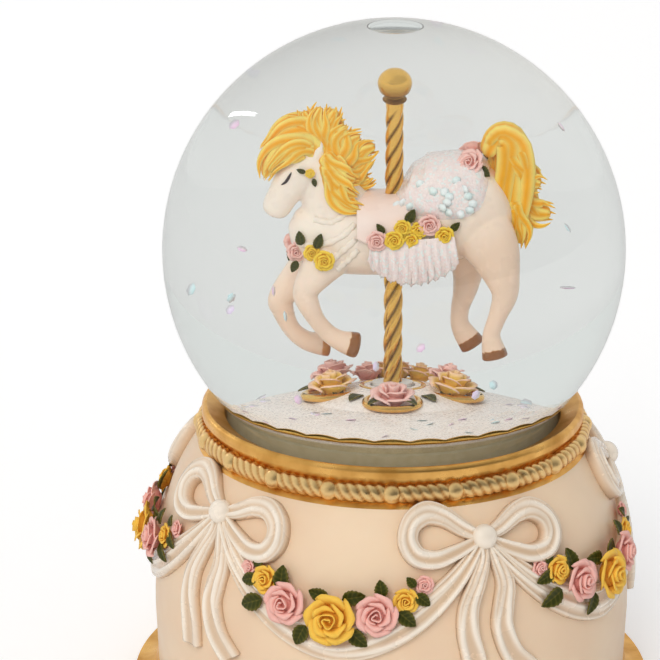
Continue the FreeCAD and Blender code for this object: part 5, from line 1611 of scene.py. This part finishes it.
@dataclass
class Horse:
    """Prancing carousel horse.

    Stations are (x, y, height above the globe's centre, half height, half width). Flowers on the side
    are colour, x, height and radius, leaves x, height, spin, length and width, straps x and height.
    """

    centre: float = 103.0
    voxel: float = 0.27
    relax_rounds: int = 5
    hair: Hair = Hair()
    trunk: Stations = field(default_factory=lambda: [
        (-16.8, 0, 1.2, 1.2, 1.2), (-15.6, 0, 1.6, 3.9, 3.4), (-12.0, 0, 2.4, 6.0, 5.0),
        (-4.0, 0, 2.6, 6.7, 5.8), (3.0, 0, 3.4, 6.9, 6.1), (9.0, 0, 6.0, 7.6, 6.3), (14.2, 0, 8.4, 7.5, 5.6),
        (17.4, 0, 10.0, 5.4, 4.2), (19.0, 0, 10.8, 1.8, 1.6)])
    neck: Stations = field(default_factory=lambda: [
        (-6.0, 0, 1.5, 6.6, 4.8), (-8.6, 0, 5.6, 6.4, 4.4), (-10.6, 0, 10.2, 5.0, 3.6),
        (-12.0, 0, 14.0, 3.9, 2.9), (-12.8, 0, 16.6, 2.6, 2.2), (-13.2, 0, 17.8, 0.8, 0.8)])
    head: Stations = field(default_factory=lambda: [
        (-11.6, 0, 16.8, 1.4, 1.4), (-13.2, 0, 15.8, 3.0, 2.5), (-15.2, 0, 13.8, 3.5, 2.8),
        (-17.0, 0, 11.5, 3.2, 2.6), (-18.3, 0, 9.4, 2.7, 2.2), (-19.2, 0, 7.6, 2.5, 2.1),
        (-19.7, 0, 6.4, 2.1, 1.9), (-20.0, 0, 5.6, 1.1, 1.1)])
    legs: list[Stations] = field(default_factory=lambda: [
        [(-9.0, -3.0, 1.5, 4.4, 2.8), (-12.4, -3.6, -2.6, 3.1, 2.5), (-14.4, -3.8, -6.0, 2.15, 1.9),
         (-14.0, -3.8, -8.0, 1.9, 1.7), (-12.4, -3.8, -11.0, 1.45, 1.35), (-10.4, -3.8, -13.2, 1.5, 1.4),
         (-8.6, -3.8, -14.3, 1.7, 1.6), (-6.6, -3.8, -14.9, 2.1, 2.0), (-5.2, -3.8, -15.2, 2.2, 2.1)],
        [(-10.0, 3.0, 1.0, 4.4, 2.8), (-14.0, 3.6, -4.0, 2.9, 2.3), (-17.6, 3.8, -9.0, 2.1, 1.8),
         (-17.4, 3.8, -11.0, 1.8, 1.6), (-16.0, 3.8, -14.0, 1.4, 1.3), (-14.0, 3.8, -15.8, 1.5, 1.4),
         (-12.2, 3.8, -16.4, 1.7, 1.6), (-10.6, 3.8, -16.5, 2.0, 1.9), (-9.6, 3.8, -16.5, 2.1, 2.0)],
        [(13.0, -2.8, 7.0, 5.8, 3.0), (16.4, -3.4, 1.2, 4.6, 2.9), (18.0, -3.8, -3.6, 3.0, 2.3),
         (18.3, -3.8, -6.6, 2.2, 1.9), (17.2, -3.8, -9.8, 1.6, 1.5), (16.1, -3.8, -12.8, 1.45, 1.35),
         (16.1, -3.8, -14.4, 1.7, 1.6), (16.5, -3.8, -16.4, 2.1, 2.0), (16.7, -3.8, -17.4, 2.2, 2.1)],
        [(11.0, 2.8, 6.0, 5.6, 3.0), (12.0, 3.4, 0.2, 4.2, 2.8), (11.8, 3.8, -4.4, 2.6, 2.1),
         (11.4, 3.8, -7.4, 2.0, 1.8), (10.6, 3.8, -10.4, 1.5, 1.4), (10.4, 3.8, -12.8, 1.45, 1.35),
         (11.0, 3.8, -14.4, 1.7, 1.6), (12.2, 3.8, -16.2, 2.0, 1.9), (12.7, 3.8, -17.0, 2.1, 2.0)]])
    ear: Stations = field(default_factory=lambda: [
        (-13.3, -1.5, 16.2, 1.1, 0.9), (-12.9, -1.7, 17.6, 1.1, 0.8), (-12.6, -1.9, 19.0, 0.7, 0.5),
        (-12.5, -2.0, 20.0, 0.1, 0.1)])
    mane: list[Stations] = field(default_factory=lambda: [
        [(-12.0, -0.6, 16.8, 2.0, 1.6), (-15.2, -0.9, 19.4, 2.5, 1.8), (-18.6, -0.9, 18.6, 2.3, 1.7),
         (-20.8, -0.8, 15.6, 1.6, 1.3), (-21.7, -0.6, 12.6, 0.5, 0.5)],
        [(-11.8, 0.5, 17.4, 2.0, 1.6), (-14.8, 0.6, 20.8, 2.2, 1.6), (-18.2, 0.6, 20.8, 1.8, 1.5),
         (-20.4, 0.5, 18.8, 1.3, 1.1), (-22.0, 0.4, 17.4, 0.5, 0.5)],
        [(-13.4, -1.5, 18.2, 1.3, 1.0), (-15.8, -2.0, 18.6, 1.6, 1.1), (-18.2, -2.1, 17.8, 1.4, 1.0),
         (-20.2, -1.9, 16.0, 0.9, 0.7), (-21.2, -1.6, 14.2, 0.4, 0.4)],
        [(-12.2, 0.0, 17.0, 1.8, 1.6), (-14.4, 0.0, 20.2, 1.9, 1.5), (-16.2, 0.0, 22.2, 1.2, 1.0),
         (-18.2, 0.0, 22.9, 0.5, 0.5)],
        [(-12.2, 0.2, 17.0, 1.8, 1.6), (-14.0, 0.2, 20.8, 1.8, 1.5), (-15.0, 0.2, 23.2, 1.1, 0.9),
         (-15.6, 0.2, 24.6, 0.5, 0.5)],
        [(-11.5, -0.3, 16.6, 2.0, 1.7), (-12.9, -0.3, 20.6, 1.9, 1.6), (-13.2, -0.3, 23.6, 1.1, 0.9),
         (-12.7, -0.3, 25.6, 0.5, 0.5)],
        [(-10.6, 0.3, 16.0, 2.2, 1.8), (-11.1, 0.3, 20.0, 2.1, 1.7), (-10.9, 0.3, 22.8, 1.4, 1.2),
         (-10.1, 0.3, 24.8, 0.7, 0.7)],
        [(-10.2, -0.3, 15.2, 2.3, 1.9), (-9.8, -0.3, 18.6, 2.0, 1.7), (-9.0, -0.3, 20.9, 1.2, 1.0),
         (-8.2, -0.3, 21.9, 0.5, 0.5)],
        [(-9.8, -0.3, 14.2, 2.4, 2.0), (-8.6, -0.3, 17.4, 2.0, 1.7), (-7.2, -0.3, 19.2, 1.2, 1.0),
         (-5.8, -0.3, 20.0, 0.5, 0.5)],
        [(-9.4, 0.2, 12.6, 2.4, 2.2), (-7.2, 0.2, 15.8, 2.0, 1.8), (-5.0, 0.2, 17.3, 1.3, 1.1),
         (-3.2, 0.2, 18.0, 0.6, 0.6)],
        [(-9.0, -0.2, 11.4, 2.3, 2.0), (-6.9, -0.2, 13.6, 1.7, 1.5), (-5.4, -0.2, 14.6, 1.0, 0.8),
         (-4.0, -0.2, 16.0, 0.5, 0.5)],
        [(-8.6, 0.0, 9.2, 2.3, 2.0), (-6.6, 0.0, 10.9, 1.7, 1.5), (-5.2, 0.0, 11.4, 1.0, 0.8),
         (-3.9, 0.0, 12.2, 0.5, 0.5)]])
    side_mane: list[Stations] = field(default_factory=lambda: [
        [(-12.0, -2.2, 17.4, 1.3, 0.9), (-10.4, -2.9, 15.4, 1.7, 1.0), (-8.6, -3.2, 13.6, 1.4, 0.9),
         (-6.4, -2.9, 13.0, 0.4, 0.4)],
        [(-11.6, -2.6, 16.2, 1.3, 0.9), (-10.2, -3.3, 13.4, 1.7, 1.0), (-8.6, -3.6, 11.2, 1.4, 0.9),
         (-6.4, -3.4, 10.4, 0.4, 0.4)],
        [(-11.2, -2.9, 14.2, 1.2, 0.9), (-9.8, -3.7, 11.2, 1.5, 0.9), (-8.0, -4.1, 9.0, 1.2, 0.8),
         (-5.8, -4.0, 8.4, 0.4, 0.4)]])
    tail: list[Stations] = field(default_factory=lambda: [
        [(15.4, 0, 16.2, 1.5, 1.4), (17.0, 0, 19.6, 2.0, 1.8), (19.4, 0, 19.9, 2.8, 2.1),
         (19.7, 0, 15.4, 3.0, 2.3), (19.5, 0, 10.4, 2.8, 2.3), (19.3, 0, 6.0, 2.3, 1.9),
         (19.6, 0, 2.6, 1.4, 1.2), (20.2, 0, 1.0, 0.5, 0.5)],
        [(20.2, -0.8, 18.0, 1.9, 1.5), (21.6, -0.8, 15.0, 1.9, 1.5), (22.8, -0.8, 12.8, 1.5, 1.2),
         (24.7, -0.8, 11.9, 0.7, 0.7)],
        [(20.0, 0.7, 12.6, 2.2, 1.7), (21.4, 0.7, 8.8, 2.1, 1.6), (23.4, 0.7, 6.6, 1.7, 1.3),
         (25.9, 0.7, 6.2, 0.8, 0.8)],
        [(20.0, -0.8, 9.6, 1.8, 1.5), (20.6, -0.8, 6.4, 1.6, 1.3), (21.0, -0.8, 3.8, 1.2, 1.0),
         (20.8, -0.8, 1.4, 0.6, 0.6)],
        [(18.6, 0.4, 10.6, 1.8, 1.7), (18.0, 0.4, 6.6, 1.6, 1.5), (17.6, 0.4, 3.8, 1.2, 1.1),
         (17.2, 0.4, 2.0, 0.6, 0.6)]])
    pad: Stations = field(default_factory=lambda: [
        (1.2, 0, 11.6, 1.0, 1.6), (1.9, 0, 11.2, 4.0, 4.2), (4.4, 0, 10.4, 6.1, 6.0),
        (8.2, 0, 10.2, 6.6, 6.9), (11.8, 0, 10.6, 6.5, 6.7), (14.6, 0, 10.8, 5.6, 5.6),
        (16.4, 0, 10.8, 3.0, 3.2)])
    side_flowers: list[tuple[Bloom, float, float, float]] = field(default_factory=lambda: [
        (Bloom.PINK, -2.8, 3.7, 1.7), (Bloom.YELLOW, 0.1, 3.9, 1.6), (Bloom.YELLOW, 1.5, 5.9, 1.4),
        (Bloom.YELLOW, 3.0, 3.9, 1.6), (Bloom.YELLOW, 4.2, 5.5, 1.4), (Bloom.PINK, 6.0, 6.5, 1.8),
        (Bloom.YELLOW, 8.6, 4.6, 1.6), (Bloom.PINK, -16.0, 0.4, 1.6), (Bloom.YELLOW, -13.6, 1.0, 1.4),
        (Bloom.YELLOW, -11.6, 0.0, 1.7), (Bloom.YELLOW, -14.2, 14.3, 0.8)])
    side_leaves: Stations = field(default_factory=lambda: [
        (2.2, 6.8, 60, 2.6, 1.8), (6.0, 4.2, 290, 2.4, 1.6), (-15.4, 2.0, 100, 2.4, 1.7),
        (-13.0, 1.8, 70, 2.6, 1.7), (-16.0, -0.9, 250, 2.2, 1.4), (-15.0, 14.6, 165, 1.6, 0.9),
        (-13.6, 13.4, 285, 1.6, 0.9), (-1.6, 5.0, 130, 2.0, 1.3), (9.6, 5.6, 40, 2.0, 1.3)])
    sequins: Stations = field(default_factory=lambda: [
        (8.6, 12.4), (9.0, 10.6), (9.4, 11.6), (12.0, 12.8), (12.6, 11.6), (13.4, 10.2), (12.8, 9.0),
        (9.2, 8.8), (8.2, 9.6), (11.2, 8.4), (1.6, 9.6), (2.8, 9.2), (0.6, 9.0), (6.6, 12.4), (10.6, 14.2),
        (4.4, 13.2)])
    straps: list[Stations] = field(default_factory=lambda: [
        [(-6.2, 6.0), (-9.0, 3.6), (-12.2, 2.2), (-15.6, 2.0)], [(-6.0, 3.8), (-8.4, 1.4), (-11.0, -0.8)],
        [(-5.8, 1.8), (-7.6, -0.4), (-9.6, -2.0)], [(-7.8, 7.6), (-10.4, 6.0), (-13.4, 6.2)]])
    hoof_reach: float = 4.2
    hoof_from: float = 0.42
    hoof_top: float = -11.0
    rose_lift: float = 0.1
    petal_wall: float = 0.12
    leaf_lift: float = 0.5
    leaf_wall: float = 0.15
    strap_radius: float = 0.62
    strap_swell: float = 0.06
    strap_sunk: float = 0.25
    sequin: float = 0.85
    sequin_wall: float = 0.06
    sequin_lift: float = 0.25
    sequin_tilt: float = 0.25
    lash: Stations = field(default_factory=lambda: [
        (-19.0, 11.8), (-18.2, 12.5), (-17.6, 13.6), (-17.3, 14.3)])
    lash_radius: float = 0.26
    lash_lift: float = 0.05
    pearl: float = 0.9
    pearl_place: tuple[float, float] = (9.4, 2.0)
    saddle_ends: tuple[float, float] = (-6.2, 3.4)
    saddle_gap: float = 0.6
    saddle_wall: float = 0.5
    crease: float = 0.018
    skirt_ends: tuple[float, float] = (-3.8, 10.2)
    skirt_gap: float = 0.75
    skirt_wall: float = 0.25
    pleats: int = 10
    frills: int = 27
    croup: tuple[float, float, float] = (12.9, -1.6, 16.6)
    croup_rose: float = 2.3
    croup_leaf: tuple[float, float] = (2.6, 1.7)

    def build(self) -> None:
        """Body, hair, harness and flowers."""
        body = self.body()
        self.locks()
        saddle = self.saddle()
        blanket = self.blanket()
        self.skirts()
        seats = Seats([body, blanket, saddle], self.centre)
        self.flowers(seats)
        self.trim(seats)

    def lifted(self, surface: Surface) -> Surface:
        """Surface carried from the globe's centre up to its height."""
        return surface.placed(np.eye(3), UP * self.centre)

    def body(self) -> bpy.types.Object:
        """Trunk, neck, head, ears and legs in one skin, with painted shade that darkens it lower down and
        towards the rump, and brown hooves.

        Returns:
            The piece.
        """
        legs = [limb(leg, 50, 24) for leg in self.legs]
        ears = limb(self.ear, 20, 16).paired()
        forms = [limb(self.trunk, 60, 36), limb(self.neck), limb(self.head), ears, *legs]
        thing = piece("horse_figure", self.lifted(joined(forms)), HORSE, Carrier.CAROUSEL, ("horse_body",))
        self.cast(thing)
        spots = mesh_points(thing.data) - UP * self.centre
        # Painted shade: lighter up the neck and head, darker down the legs and towards the rump.
        shade = 0.64 + 0.03 * (spots[:, 2] + 6) - 0.022 * np.maximum(spots[:, 0], 0)
        hoof, down = self.hooves(spots)
        tone = np.where(hoof, np.clip(0.24 - 0.16 * down, 0.02, 0.2), np.clip(shade, 0.5, 0.97))
        marks = thing.data.attributes
        layer = marks.get("tone") or marks.new("tone", "FLOAT", "POINT")
        layer.data.foreach_set("value", tone.astype(np.float32))
        return thing

    def cast(self, thing: bpy.types.Object) -> None:
        """Run the forms of a piece into one skin, remeshed on a fine grid and relaxed.

        Args:
            thing: the piece, whose mesh is changed for the new one.
        """
        remesh = thing.modifiers.new("cast", "REMESH")
        remesh.mode = "VOXEL"
        remesh.voxel_size = self.voxel * MM
        remesh.use_smooth_shade = True
        relax = thing.modifiers.new("relax", "SMOOTH")
        relax.factor = 0.5
        relax.iterations = self.relax_rounds
        bpy.context.view_layer.update()
        made = bpy.data.meshes.new_from_object(thing.evaluated_get(bpy.context.evaluated_depsgraph_get()))
        old = thing.data
        made.materials.clear()
        made.materials.append(old.materials[0])
        thing.modifiers.clear()
        thing.data = made
        bpy.data.meshes.remove(old)
        made.name = thing.name

    def hooves(self, spots: np.ndarray) -> tuple[np.ndarray, np.ndarray]:
        """Which points are on a hoof: near a leg's last station and far enough down from its ankle.

        Args:
            spots: points about the globe's centre.

        Returns:
            Whether each point is on a hoof, and its way down in lengths from ankle to end.
        """
        ends = np.array([leg[-1][:3] for leg in self.legs], float)[:, None]
        ankles = np.array([leg[-3][:3] for leg in self.legs], float)[:, None]
        way = ends - ankles
        down = ((spots - ankles) * way).sum(axis=-1) / (way ** 2).sum(axis=-1)
        close = np.linalg.norm(spots - ends, axis=-1) < self.hoof_reach
        low = spots[:, 2] < self.hoof_top
        hoof = (np.where(close, down, 0).max(axis=0) > self.hoof_from) & low
        return hoof, down.max(axis=0)

    def locks(self) -> None:
        """Mane along the crest, with locks on both sides of the neck, and tail."""
        crest = [self.hair.lock(stations) for stations in self.mane]
        sides = joined([self.hair.lock(stations) for stations in self.side_mane + self.mane[2:3]])
        tail = joined([self.hair.lock(stations) for stations in self.tail])
        piece("horse_mane_locks", self.lifted(joined([*crest, sides.paired()])), MANE, Carrier.CAROUSEL,
              ("horse_mane",))
        piece("horse_tail_locks", self.lifted(tail), MANE, Carrier.CAROUSEL, ("horse_tail",))

    def saddle(self) -> bpy.types.Object:
        """Saddle: a band over the trunk that dips in the middle and rises to its ends.

        Over (x, share), the point is on the trunk's oval at an angle from the top, its height changed
        by two bells.

        Returns:
            The piece.
        """
        x = np.linspace(*self.saddle_ends, 40)[:, None]
        share = np.linspace(-1, 1, 61)[None, :]
        trunk = smooth(self.trunk, 200)
        middle, tall, wide = (np.interp(x, trunk[:, 0], trunk[:, column]) for column in (2, 3, 4))
        angle = np.radians((92 - 12 * ((x + 1.4) / 4.8) ** 2) * share)
        rise = 0.5 * ((x + 1) / 5) ** 2 * np.exp(-(share / 0.5) ** 2)
        dip = 0.5 * np.exp(-(share / 0.25) ** 2) * np.exp(-((x + 1.0) / 3.2) ** 2)
        height = middle + (tall + self.saddle_gap) * np.cos(angle) + rise - dip
        seat = sheet(grid(x, (wide + self.saddle_gap) * np.sin(angle), height))
        return piece("saddle_seat", self.lifted(seat), SADDLE, Carrier.CAROUSEL, ("horse_saddle",),
                     wall=self.saddle_wall, closed=False)

    def blanket(self) -> bpy.types.Object:
        """Thick blanket over the rump, creased across by the product of two sines.

        Returns:
            The piece.
        """
        pad = limb(self.pad, 70, 72)
        x, z = pad.points[:, 0], pad.points[:, 2]
        pad.points[:, 1] *= 1 + self.crease * np.sin(2.1 * x + 0.9 * z) * np.sin(1.7 * z)
        return piece("rump_blanket", self.lifted(pad), BLANKET, Carrier.CAROUSEL)

    def skirts(self) -> None:
        """Pleated skirts on both sides: a fan over (along, down) whose pleats and frills are cosines."""
        low, high = self.skirt_ends
        along = np.linspace(0, 1, 161)[:, None]
        down = np.linspace(0, 1, 24)[None, :]
        pleat = np.cos(FULL_TURN * self.pleats * along + 1.2 * np.sin(9 * along) + 0.8 * np.sin(5 * down))
        frill = np.cos(FULL_TURN * self.frills * along + 4 * down) * down ** 2
        x = low + (high - low) * along + 1.2 * (along - 0.4) * down
        top = 3.0 + 1.6 * along
        bottom = -0.2 - 3.9 * np.sin(math.pi * along ** 0.9) ** 0.7 + 0.4 * pleat + 0.2 * frill
        trunk = smooth(self.trunk, 200)
        wide = np.interp(x, trunk[:, 0], trunk[:, 4]) + self.skirt_gap
        billow = 0.35 * np.sin(math.pi * down) + 0.5 * pleat * down ** 0.8 + 0.16 * frill - 0.5 * down ** 3
        fan = sheet(grid(x, -(wide + billow), top + (bottom - top) * down))
        piece("pleated_skirts", self.lifted(fan).paired(), BLANKET, Carrier.CAROUSEL, wall=self.skirt_wall,
              closed=False)

    def flowers(self, seats: Seats) -> None:
        """Roses and leaves on both sides of the horse, on its croup and by its ear.

        Args:
            seats: places on the horse.
        """
        side = np.array([[1.0, 0, 0], [0, 0, 1.0], [0, -1.0, 0]])
        shapes = {bloom: [] for bloom in Bloom}
        for order, (bloom, x, z, radius) in enumerate(self.side_flowers):
            shapes[bloom].append(rose(radius, 40.0 * order).placed(side, seats.at(x, z, self.rose_lift)))
        blades = [leaf(length, width).turned(spin).placed(side, seats.at(x, z, self.leaf_lift))
                  for x, z, spin, length, width in self.side_leaves]
        croup = np.array(self.croup) + UP * self.centre
        lean = unit(np.array([[1.0, 0, 0.25], [0, 0.55, 0.83], [-0.2, -0.83, 0.5]]))
        shapes[Bloom.PINK].append(rose(self.croup_rose, 15).placed(lean, croup - (0, 0.4, 0.8)))
        blades += [leaf(*self.croup_leaf).turned(spin).placed(lean, croup - under)
                   for spin, under in ((205, (1.4, 0.8, 0.8)), (315, (-1.4, 0.8, 1.4)))]
        for bloom, finish, nodes in ((Bloom.PINK, BLUSH, ("horse_flowers",)), (Bloom.YELLOW, AMBER, ())):
            piece(f"horse_{bloom.value}_roses", joined(shapes[bloom]).paired(), finish, Carrier.CAROUSEL,
                  nodes, wall=self.petal_wall, closed=False)
        piece("horse_leaves", joined(blades).paired(), LEAF, Carrier.CAROUSEL, wall=self.leaf_wall,
              closed=False)

    def trim(self, seats: Seats) -> None:
        """Lashes, pearls, straps on the chest and sequins on the blanket and the saddle, on both sides.

        Args:
            seats: places on the horse.
        """
        path = np.array([seats.at(x, z, self.lash_lift) for x, z in smooth(self.lash, 16)])
        lashes = rod(path, self.lash_radius * np.sin(np.linspace(0.25, math.pi - 0.1, 16)))
        piece("closed_lashes", lashes.paired(), LASH, Carrier.CAROUSEL)
        pearl = ball(seats.at(*self.pearl_place, self.pearl), self.pearl).toned(1.0)
        piece("saddle_pearls", pearl.paired(), RIBBON, Carrier.CAROUSEL)
        swell = self.strap_radius + self.strap_swell * np.cos(np.linspace(0, 26, 26))
        straps = []
        for route in self.straps:
            path = np.array([seats.at(x, z, -self.strap_sunk) for x, z in smooth(route, 26)])
            path[2:-2, 1] = np.convolve(path[:, 1], np.ones(5) / 5, "valid")
            straps.append(rod(path, swell, 10).toned(0.95))
        piece("breast_straps", joined(straps).paired(), HORSE, Carrier.CAROUSEL)
        seeds = np.random.default_rng(11)
        slants = np.array([0, -1, 0]) + self.sequin_tilt * seeds.normal(size=(len(self.sequins), 3))
        plates = [flake(seats.at(x, z, self.sequin_lift), slant, self.sequin)
                  for (x, z), slant in zip(self.sequins, slants)]
        piece("sequins", joined(plates).paired(), SEQUIN, Carrier.CAROUSEL, wall=self.sequin_wall,
              closed=False)


@dataclass
class Studio:
    """Camera, lamps, white floor and world, in metres and degrees."""

    focus: tuple[float, float, float] = (0.0, 0.0, 0.103)
    distance: float = 0.6
    elevation: float = 17.0
    lens: float = 151.18
    yaw: float = 1.374
    pitch: float = 1.664
    sun_from: tuple[float, float, float] = (-0.26, -0.72, 0.64)
    sun_colour: Colour = (1.0, 0.96, 0.91)
    sun_energy: float = 1.35
    sun_spread: float = 35.0
    strip: tuple[float, float, float] = (-0.671, 0.593, 0.444)
    strip_size: tuple[float, float] = (0.34, 0.025)
    strip_turn: float = 50.0
    strip_energy: float = 0.25
    floor_half: float = 3.0
    floor_white: float = 0.235
    ambient: float = 0.54
    ambient_colour: Colour = (0.97, 0.98, 1.0)
    backdrop: float = 0.76
    backdrop_colour: Colour = (0.98, 1.0, 0.99)
    behind_camera: float = 0.12
    through_glass: float = 0.48
    brighter: tuple[float, float, float] = (-0.55, 0.9, 0.2)
    fall: tuple[float, float] = (-0.9, 0.1)

    def build(self) -> None:
        """The whole stage."""
        bpy.context.scene.view_settings.view_transform = "Standard"
        self.camera()
        self.lamps()
        self.floor()
        self.world()

    @staticmethod
    def put(name: str, data: bpy.types.ID) -> bpy.types.Object:
        """New object in the scene.

        Args:
            name: its name.
            data: its mesh, lamp or camera.

        Returns:
            The object.
        """
        thing = bpy.data.objects.new(name, data)
        bpy.context.scene.collection.objects.link(thing)
        return thing

    def camera(self) -> None:
        """Camera at the photograph's angle, aimed so that the globe sits right of and above the middle."""
        data = bpy.data.cameras.new("view")
        data.lens = self.lens
        data.sensor_width = 36.0
        data.clip_start = 0.01
        thing = self.put("view", data)
        tilt = math.radians(self.elevation)
        thing.location = Vector(self.focus) + self.distance * Vector((0, -math.cos(tilt), math.sin(tilt)))
        thing.rotation_euler = (math.radians(90 - self.elevation - self.pitch), 0, math.radians(self.yaw))
        bpy.context.scene.camera = thing

    def lamps(self) -> None:
        """Soft sun from the front left and a strip lamp behind on the left."""
        sun = bpy.data.lights.new("window", "SUN")
        sun.energy = self.sun_energy
        sun.angle = math.radians(self.sun_spread)
        sun.color = self.sun_colour
        thing = self.put("window", sun)
        thing.rotation_euler = Vector(self.sun_from).to_track_quat("Z", "Y").to_euler()
        thing.visible_glossy = False
        thing.visible_transmission = False
        strip = bpy.data.lights.new("strip", "AREA")
        strip.shape = "RECTANGLE"
        strip.size, strip.size_y = self.strip_size
        strip.energy = self.strip_energy
        thing = self.put("strip", strip)
        thing.visible_transmission = False
        thing.location = Vector(self.focus) + Vector(self.strip)
        spin = Quaternion((0, 0, 1), math.radians(self.strip_turn))
        thing.rotation_euler = (Vector(self.strip).to_track_quat("Z", "Y") @ spin).to_euler()

    def floor(self) -> None:
        """Wide white floor that keeps the shadow, and glows a little for the eye alone."""
        half = self.floor_half
        mesh = bpy.data.meshes.new("floor")
        mesh.from_pydata([(-half, -half, 0), (half, -half, 0), (half, half, 0), (-half, half, 0)], [],
                         [(0, 1, 2, 3)])
        thing = self.put("floor", mesh)
        paper = Finish("white_paper", "snow", (0.96, 0.96, 0.96), (0.95, 0.95, 0.95), 0.9).material()
        mesh.materials.append(paper)
        wiring = Wiring(paper)
        straight = wiring.node("ShaderNodeLightPath").outputs["Is Camera Ray"]
        strength = wiring.rescaled(straight, 0.0, self.floor_white)
        glow = wiring.node("ShaderNodeEmission", {"Strength": strength})
        both = wiring.node("ShaderNodeAddShader", {0: wiring.shader.outputs[0], 1: glow.outputs[0]})
        wiring.tree.links.new(both.outputs[0], wiring.surface)

    def world(self) -> None:
        """Even light all round, white to the eye and in gloss and glass, darker behind the camera.

        What the eye sees follows the dot product of the ray and the brighter side. It is white straight
        on, and through glass it has a least strength.
        """
        world = bpy.data.worlds.new("studio")
        bpy.context.scene.world = world
        world.use_nodes = True
        nodes = Nodes(world.node_tree)
        light = nodes.tree.nodes["Background"]
        nodes.fill(light, {"Color": (*self.ambient_colour, 1), "Strength": self.ambient})
        ray = nodes.node("ShaderNodeTexCoord").outputs["Generated"]
        slant = nodes.node("ShaderNodeVectorMath", {0: ray, 1: self.brighter}, operation="DOT_PRODUCT")
        side = nodes.rescaled(slant.outputs["Value"], self.behind_camera, self.backdrop, *self.fall)
        path = nodes.node("ShaderNodeLightPath").outputs
        straight, through = path["Is Camera Ray"], path["Is Transmission Ray"]
        least = nodes.number("MULTIPLY_ADD", through, self.through_glass, straight)
        shown = {"Color": (*self.backdrop_colour, 1), "Strength": nodes.number("MAXIMUM", side, least)}
        white = nodes.node("ShaderNodeBackground", shown)
        mirrored = nodes.number("MAXIMUM", straight, path["Is Glossy Ray"])
        seen = nodes.number("MAXIMUM", mirrored, through)
        mix = nodes.node("ShaderNodeMixShader", {"Fac": seen, 1: light.outputs[0], 2: white.outputs[0]})
        nodes.tree.links.new(mix.outputs[0], nodes.tree.nodes["World Output"].inputs["Surface"])


def main() -> None:
    """Build every sub-assembly in order."""
    logging.basicConfig(level=logging.INFO, format="%(message)s")
    for dressing in SOLIDS:
        dressing.dress()
    assemblies = (Bows(), Swags(), Garlands(), CollarRope(), Globe(), Pole(), MoundRoses(), Horse(), Studio())
    for assembly in assemblies:
        assembly.build()


if __name__ == "__main__":
    main()
